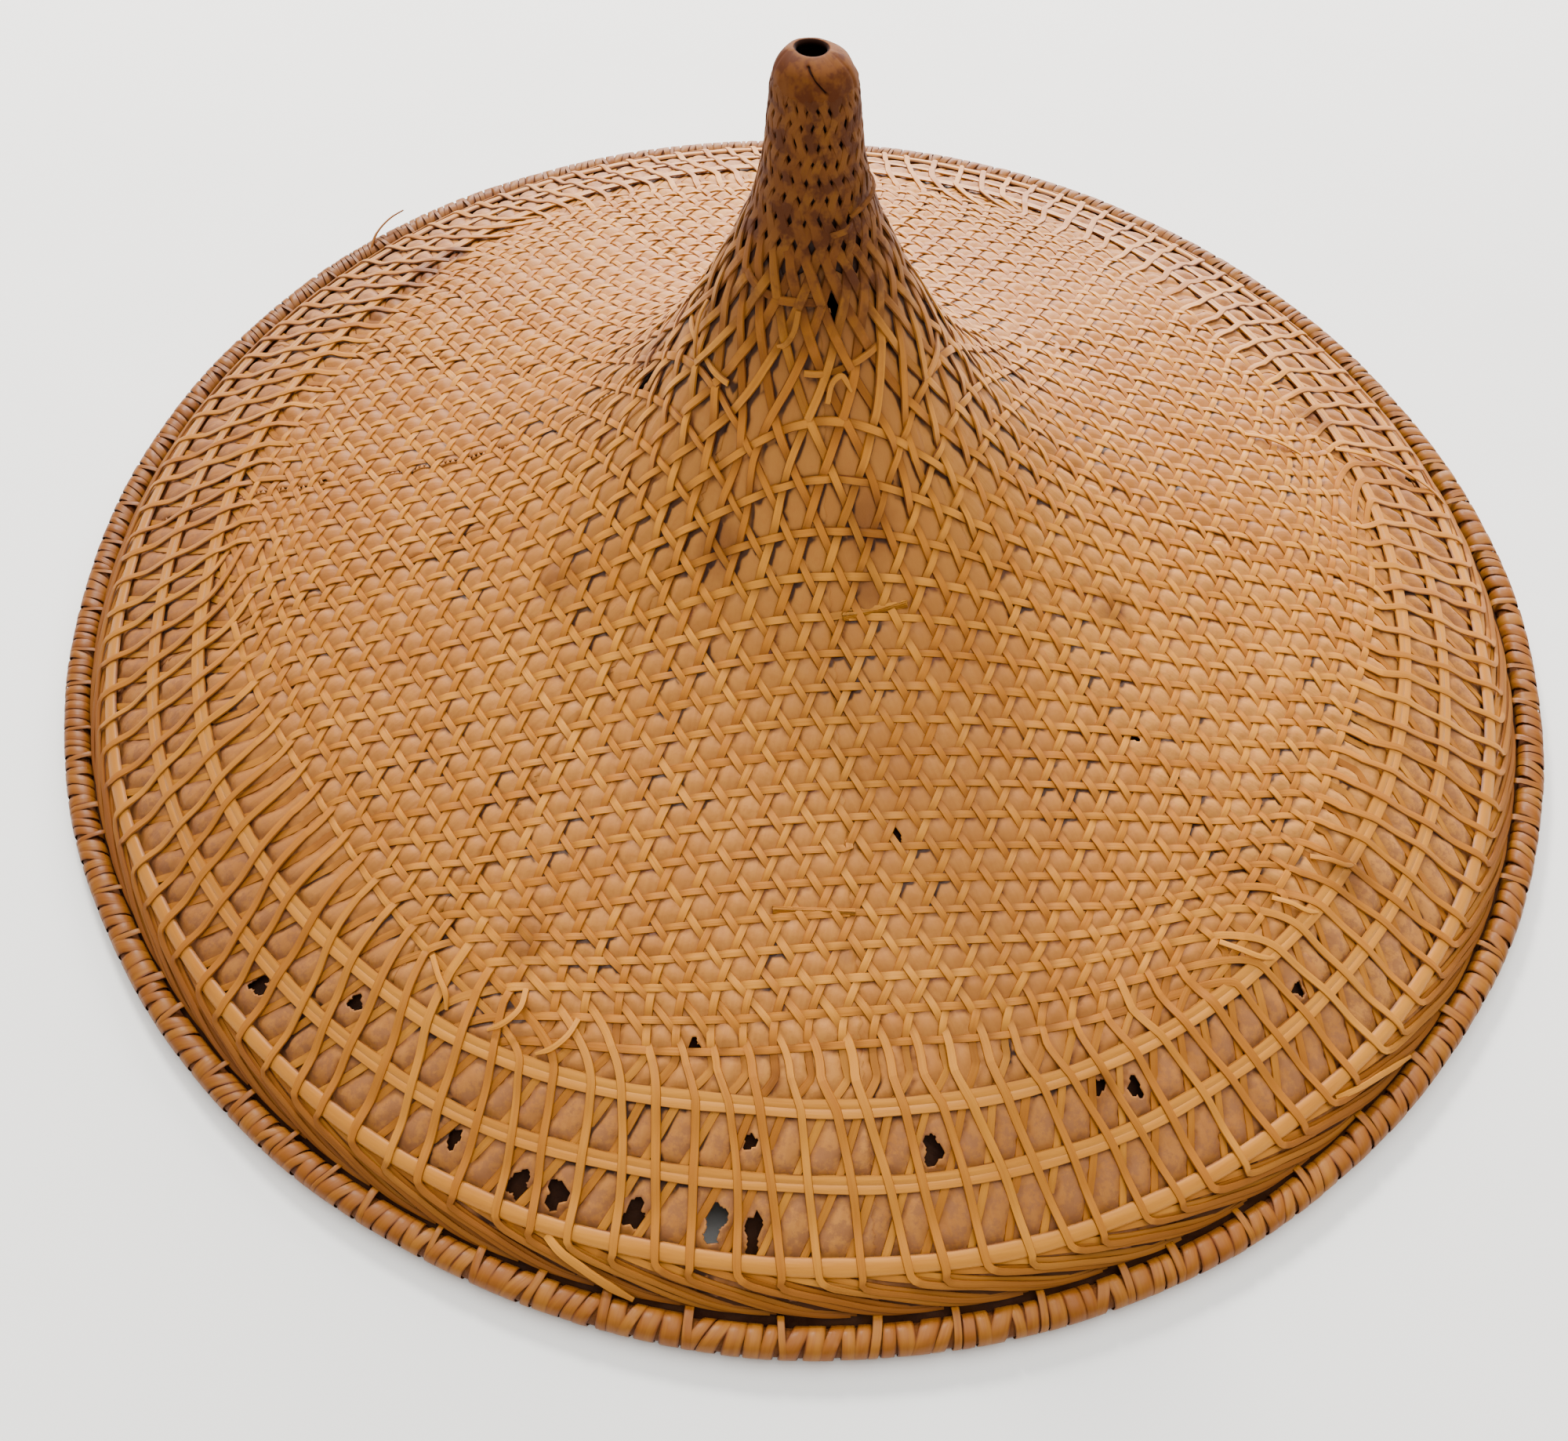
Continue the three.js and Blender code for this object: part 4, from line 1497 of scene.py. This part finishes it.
class HAT_OT_cap(bpy.types.Operator):
    """Close the spire's tip with its smooth cap and the hole in it"""

    bl_idname = "hat.cap"
    bl_label = "Spire cap"

    def execute(self, context):
        colours = context.scene.hat_colours
        material = rattan("cap splints", colours, coat=0.0, specular=0.14, wear=0.30, grain=0.9)
        outline = np.array(CAP_OUTLINE)
        knots = running(np.hypot(*np.diff(outline, axis=0).T))
        fine = np.linspace(0.0, knots[-1], CAP_RINGS)
        radius, height = through(knots, outline[:, 0], fine), through(knots, outline[:, 1], fine)
        shape = bmesh.new()
        verts = [shape.verts.new((r, 0, z)) for r, z in zip(radius, height)]
        edges = [shape.edges.new((verts[i], verts[(i + 1) % len(verts)])) for i in range(len(verts))]
        bmesh.ops.spin(shape, geom=verts + edges, axis=(0, 0, 1), cent=(0, 0, 0),
                       angle=2 * math.pi, steps=CAP_ROUNDS, use_merge=True)
        bmesh.ops.recalc_face_normals(shape, faces=shape.faces)
        points = np.array([vert.co for vert in shape.verts])
        moved, across, painted_shade = self.shaped(points)
        for vert, place in zip(shape.verts, moved):
            vert.co = place
        mesh = mesh_of("spire_cap_splints", shape)
        mesh.shade_smooth()
        set_map(mesh, "Strand", np.stack([points[:, 2] * 1.5, across], axis=1))
        set_values(mesh, "tone", 0.4)
        # The depth carries the painted shade of the creases, the slit, the lower edge and the hole's inside
        set_values(mesh, "depth", 1.0 - 2.0 * painted_shade)
        place_piece("spire_cap_splints", mesh, material, ("spire_cap",))
        return {"FINISHED"}

    def shaped(self, points):
        """Moves the hole back, folds and slits the cap and makes its lower edge ragged; gives painted shade
        in the creases and the slit, darker along the lower edge, and paints the hole's inside all but black
        """
        x, y, z = points.T
        radius = np.hypot(x, y)
        angle = np.arctan2(y, x) % (2 * math.pi)
        outside = smoothstep((radius - HOLE_EDGE) / 0.002)
        turn = angle * CAP_FOLDS / (2 * math.pi) + FOLD_TURN * (z - 0.178)
        fold = np.abs((turn + 0.3) % 1.0 - 0.5) * 2
        crease = smoothstep((fold - CREASE_START) / CREASE_WIDTH) * outside
        wave = 0.00010 * np.sin(3 * angle + 900 * z) + 0.00008 * np.sin(7 * angle + 400 * z + 1.0)
        start, end, top, foot, half, deep = SLIT
        share = (top - z) / (top - foot)
        line = start + share * (end - start)
        off = np.abs((angle - line) * radius)
        slit = smoothstep(1.6 - off / half) * (share > 0) * (share < 1) * (radius > 0.0045)
        dent = wave - CREASE_DEPTH * crease - deep * slit
        scale = 1 + dent * outside / np.maximum(radius, 0.001)
        low = smoothstep((LOW_EDGE - z) / 0.0036)
        ragged = 0.0004 * np.sin(12 * angle + 0.6) + 0.0003 * np.sin(19 * angle)
        ragged = ragged - 0.0003 * np.cos(angle + 0.6)
        moved = HOLE_SHIFT * smoothstep((0.0079 - radius) / 0.0045)
        back = np.clip((y + moved) / 0.007, 0, 1)
        lowered = z + low * ragged - BACK_DROP * back * (1 - low)
        shifted = np.stack([x * scale - 0.5 * moved, y * scale + moved, lowered], axis=1)
        across = 0.5 + 0.42 * (fold - 0.5)
        painted_shade = np.clip(0.55 * crease + 0.35 * low, 0, 1) + 1.8 * slit
        painted_shade = np.where(radius < np.interp(z, *np.array(CAP_WALL).T), 2.2, painted_shade)
        return worn(shifted), across, painted_shade


# Loose splints: width, tone, and the angle in degrees, radius and height of each point
LOOSE_SPLINTS = (
    (0.0015, 0.95, ((18.3, 0.1325, -0.0004), (17.6, 0.1370, 0.0006), (16.6, 0.1430, 0.0008),
                    (15.6, 0.1490, -0.0003))),
    (0.0017, 0.90, ((16.9, 0.1630, 0.0003), (16.4, 0.1700, 0.0016), (16.0, 0.1790, 0.0024),
                    (15.2, 0.1880, 0.0024), (14.0, 0.1975, 0.0017), (13.4, 0.2010, 0.0009))),
    (0.0022, 1.20, ((255.3, 0.2000, 0.0004), (256.3, 0.2016, 0.0014), (258.0, 0.2036, 0.0013),
                    (260.0, 0.2058, 0.0009), (261.6, 0.2074, 0.0002))),
    (0.0016, 0.90, ((312.0, 0.2002, 0.0004), (313.6, 0.2014, 0.0013), (316.4, 0.2036, 0.0012),
                    (319.0, 0.2060, 0.0006))),
    (0.0015, 0.60, ((352.0, 0.0122, -0.0002), (344.0, 0.0124, 0.0012), (333.0, 0.0127, 0.0018),
                    (320.0, 0.0131, 0.0010), (309.0, 0.0135, -0.0002))),
    (0.0014, 1.10, ((288.0, 0.0143, -0.0002), (294.0, 0.0141, 0.0010), (302.0, 0.0139, 0.0014),
                    (307.0, 0.0137, 0.0007))),
    (0.0015, 0.75, ((238.8, 0.1600, -0.0002), (240.5, 0.1628, 0.0011), (241.9, 0.1652, 0.0016),
                    (242.4, 0.1680, 0.0004))),
    (0.0015, 0.85, ((247.6, 0.1560, -0.0002), (248.0, 0.1600, 0.0012), (247.4, 0.1642, 0.0018),
                    (246.2, 0.1674, 0.0004))),
    (0.0014, 0.90, ((252.8, 0.1576, -0.0002), (252.6, 0.1612, 0.0010), (251.8, 0.1650, 0.0015),
                    (250.6, 0.1676, 0.0004))),
    (0.0015, 0.80, ((311.0, 0.1585, -0.0002), (311.9, 0.1622, 0.0011), (312.9, 0.1660, 0.0014),
                    (314.2, 0.1690, 0.0003))),
    (0.0014, 0.70, ((324.0, 0.1600, -0.0002), (324.9, 0.1640, 0.0012), (325.5, 0.1672, 0.0013),
                    (326.6, 0.1700, 0.0003))),
    (0.0014, 0.95, ((318.0, 0.1592, -0.0002), (318.8, 0.1630, 0.0012), (319.4, 0.1664, 0.0013),
                    (320.4, 0.1692, 0.0003))),
    (0.0013, 0.40, ((139.9, 0.2095, 0.0006), (138.2, 0.2110, 0.0044), (136.4, 0.2112, 0.0066),
                    (134.8, 0.2105, 0.0072))),
    (0.0014, 0.85, ((196.0, 0.0255, -0.0002), (200.5, 0.0268, 0.0010), (206.0, 0.0290, 0.0012),
                    (209.0, 0.0315, -0.0002))),
    (0.0014, 0.95, ((263.0, 0.0205, -0.0002), (262.0, 0.0222, 0.0011), (258.0, 0.0238, 0.0012),
                    (253.0, 0.0244, -0.0002))),
    (0.0014, 0.90, ((279.0, 0.0300, -0.0003), (281.5, 0.0276, 0.0008), (286.0, 0.0269, 0.0009),
                    (290.5, 0.0290, -0.0003))),
)
LOOSE_STEPS = 22
LOOSE_THICKNESS = 0.00045


class HAT_OT_loose(bpy.types.Operator):
    """Lay the splints that have sprung loose, and the turned-over ends"""

    bl_idname = "hat.loose"
    bl_label = "Loose splints"

    def execute(self, context):
        material = rattan("loose splint", context.scene.hat_colours)
        batch = Batch()
        for width, tone, points in LOOSE_SPLINTS:
            degrees, radius, height = np.array(points).T
            angle = np.radians(degrees)
            run = running(np.hypot(np.diff(radius), np.diff(angle) * radius[1:]))
            fine = np.linspace(0.0, run[-1], LOOSE_STEPS)
            length = PROFILE.at_radius(through(run, radius, fine))
            angle = through(run, angle, fine)
            centres = straight_on_hat(length, angle, through(run, height, fine))
            taper = 1 - 0.45 * smoothstep((fine / run[-1] - 0.75) / 0.25)
            rings = worn(ribbon(centres, outward(length, angle), width * taper, LOOSE_THICKNESS))
            batch.add(rings, fine, STRAND_SECTION[:, 0] / 2 + 0.5, tone, 1.0)
        batch.piece("loose_splints", material, "weave", ("field_weave", "shoulder_weave"))
        return {"FINISHED"}


# The edge plait is the strands' turned ends. Below them lies one band, painted all but black as the shade
# under them: radius, height over the face, width, thickness
SHADE_BAND = (0.2046, -0.0014, 0.0030, 0.0005)
BAND_STEPS = 240


class HAT_OT_plait(bpy.types.Operator):
    """Lay a band, painted all but black as shade, under the turned ends of the plait"""

    bl_idname = "hat.plait"
    bl_label = "Edge plait"

    def execute(self, context):
        material = rattan("plait splints", context.scene.hat_colours)
        batch = Batch()
        radius, over, width, thickness = SHADE_BAND
        angle = np.linspace(0, 2 * math.pi, BAND_STEPS, endpoint=False)
        length = PROFILE.at_radius(np.full(BAND_STEPS, radius))
        centres = straight_on_hat(length, angle, over)
        rings = worn(round_ribbon(centres, outward(length, angle), width, thickness))
        # A depth of -2.2 paints the band all but black
        batch.add(rings, angle * 0.2, STRAND_SECTION[:, 0] / 2 + 0.5, 0.3, -2.2, closed=True)
        batch.piece("plait_shade_band", material, "plait", ("edge_plait",))
        return {"FINISHED"}


# The photograph's viewpoint: aim, distance, elevation and roll of the camera, and its lens
AIM = (-0.0274 * RIM_RADIUS, -0.2654 * RIM_RADIUS, 0.1 * RIM_RADIUS)
CAMERA_DISTANCE = 1.8951 * RIM_RADIUS
CAMERA_ELEVATION = 0.9922
CAMERA_ROLL = 0.0684
FOCAL_SHARE = 1926 / 2000
SENSOR_WIDTH = 36.0

FLOOR_HALF = 3.0

# Round soft lamps: name, place, what it points at, diameter, power in watts, colour
LAMPS = (
    ("key_light", (-0.55, 1.35, 1.25), (0, 0, 0.05), 0.35, 46.0, (1.0, 0.97, 0.92)),
    ("back_window", (0.3, 2.3, 0.55), (0, 0, 0.05), 2.2, 160.0, (1.0, 0.94, 0.93)),
    ("top_light", (0.1, 0.3, 1.9), (0, 0, 0), 2.0, 42.0, (1.0, 0.98, 0.95)),
)
ROOM_COLOUR = (1.0, 0.99, 0.97, 1.0)
ROOM_LIGHT = 0.72


class HAT_OT_stage(bpy.types.Operator):
    """Set the camera, the floor and the lights"""

    bl_idname = "hat.stage"
    bl_label = "Stage"

    def execute(self, context):
        self.camera(context.scene)
        self.floor(context.scene)
        self.lights(context.scene)
        return {"FINISHED"}

    def camera(self, scene):
        data = bpy.data.cameras.new("camera")
        data.sensor_width = SENSOR_WIDTH
        data.lens = FOCAL_SHARE * SENSOR_WIDTH
        data.clip_start = 0.01
        camera = bpy.data.objects.new("camera", data)
        scene.collection.objects.link(camera)
        back = Vector((0, -math.cos(CAMERA_ELEVATION), math.sin(CAMERA_ELEVATION)))
        right = Vector((1, 0, 0))
        up = back.cross(right)
        right_rolled = right * math.cos(CAMERA_ROLL) + up * math.sin(CAMERA_ROLL)
        up_rolled = up * math.cos(CAMERA_ROLL) - right * math.sin(CAMERA_ROLL)
        turn = Matrix((right_rolled, up_rolled, back)).transposed()
        camera.matrix_world = Matrix.Translation(Vector(AIM) + back * CAMERA_DISTANCE) @ turn.to_4x4()
        scene.camera = camera

    def floor(self, scene):
        colours = scene.hat_colours
        shape = bmesh.new()
        bmesh.ops.create_grid(shape, x_segments=8, y_segments=8, size=FLOOR_HALF)
        mesh = mesh_of("floor", shape)
        graph = Graph("floor paint")
        here = graph.node("ShaderNodeTexCoord", output="Object")
        cloud = graph.noise(here, 9.0, 3.0)
        colour = graph.mix(cloud, colour4(colours.floor), colour4(colours.floor, 0.96))
        normal = graph.bump(cloud, 0.001)
        material = graph.finish(colour, 0.7 + cloud * 0.1, normal)
        floor = bpy.data.objects.new("floor", mesh)
        scene.collection.objects.link(floor)
        mesh.materials.append(material)

    def lights(self, scene):
        for name, place, aim, size, power, colour in LAMPS:
            data = bpy.data.lights.new(name, "AREA")
            data.shape = "DISK"
            data.size = size
            data.energy = power
            data.color = colour
            lamp = bpy.data.objects.new(name, data)
            scene.collection.objects.link(lamp)
            facing = (Vector(place) - Vector(aim)).to_track_quat("Z", "Y")
            lamp.matrix_world = Matrix.Translation(place) @ facing.to_matrix().to_4x4()
        world = bpy.data.worlds.new("studio")
        world.use_nodes = True
        background = world.node_tree.nodes["Background"]
        background.inputs["Color"].default_value = ROOM_COLOUR
        background.inputs["Strength"].default_value = ROOM_LIGHT
        scene.world = world


STEPS = (HAT_OT_stage, HAT_OT_strands, HAT_OT_hoops, HAT_OT_leaves, HAT_OT_plait, HAT_OT_binding,
         HAT_OT_cap, HAT_OT_loose)


class HAT_PT_panel(bpy.types.Panel):
    """Sizes, colours and building steps of the hat"""

    bl_label = "Rattan hat"
    bl_idname = "HAT_PT_panel"
    bl_space_type = "VIEW_3D"
    bl_region_type = "UI"
    bl_category = "Rattan Hat"

    def draw(self, context):
        for group in (context.scene.hat_sizes, context.scene.hat_colours):
            box = self.layout.box()
            for name in group.__annotations__:
                box.prop(group, name)
        for step in STEPS:
            self.layout.operator(step.bl_idname)


CLASSES = (HatSizes, HatColours, *STEPS, HAT_PT_panel)


def register():
    for cls in CLASSES:
        bpy.utils.register_class(cls)
    bpy.types.Scene.hat_sizes = bpy.props.PointerProperty(type=HatSizes)
    bpy.types.Scene.hat_colours = bpy.props.PointerProperty(type=HatColours)


def unregister():
    del bpy.types.Scene.hat_colours
    del bpy.types.Scene.hat_sizes
    for cls in reversed(CLASSES):
        bpy.utils.unregister_class(cls)


def main():
    register()
    for step in STEPS:
        group, name = step.bl_idname.split(".")
        getattr(getattr(bpy.ops, group), name)()


if __name__ == "__main__":
    main()
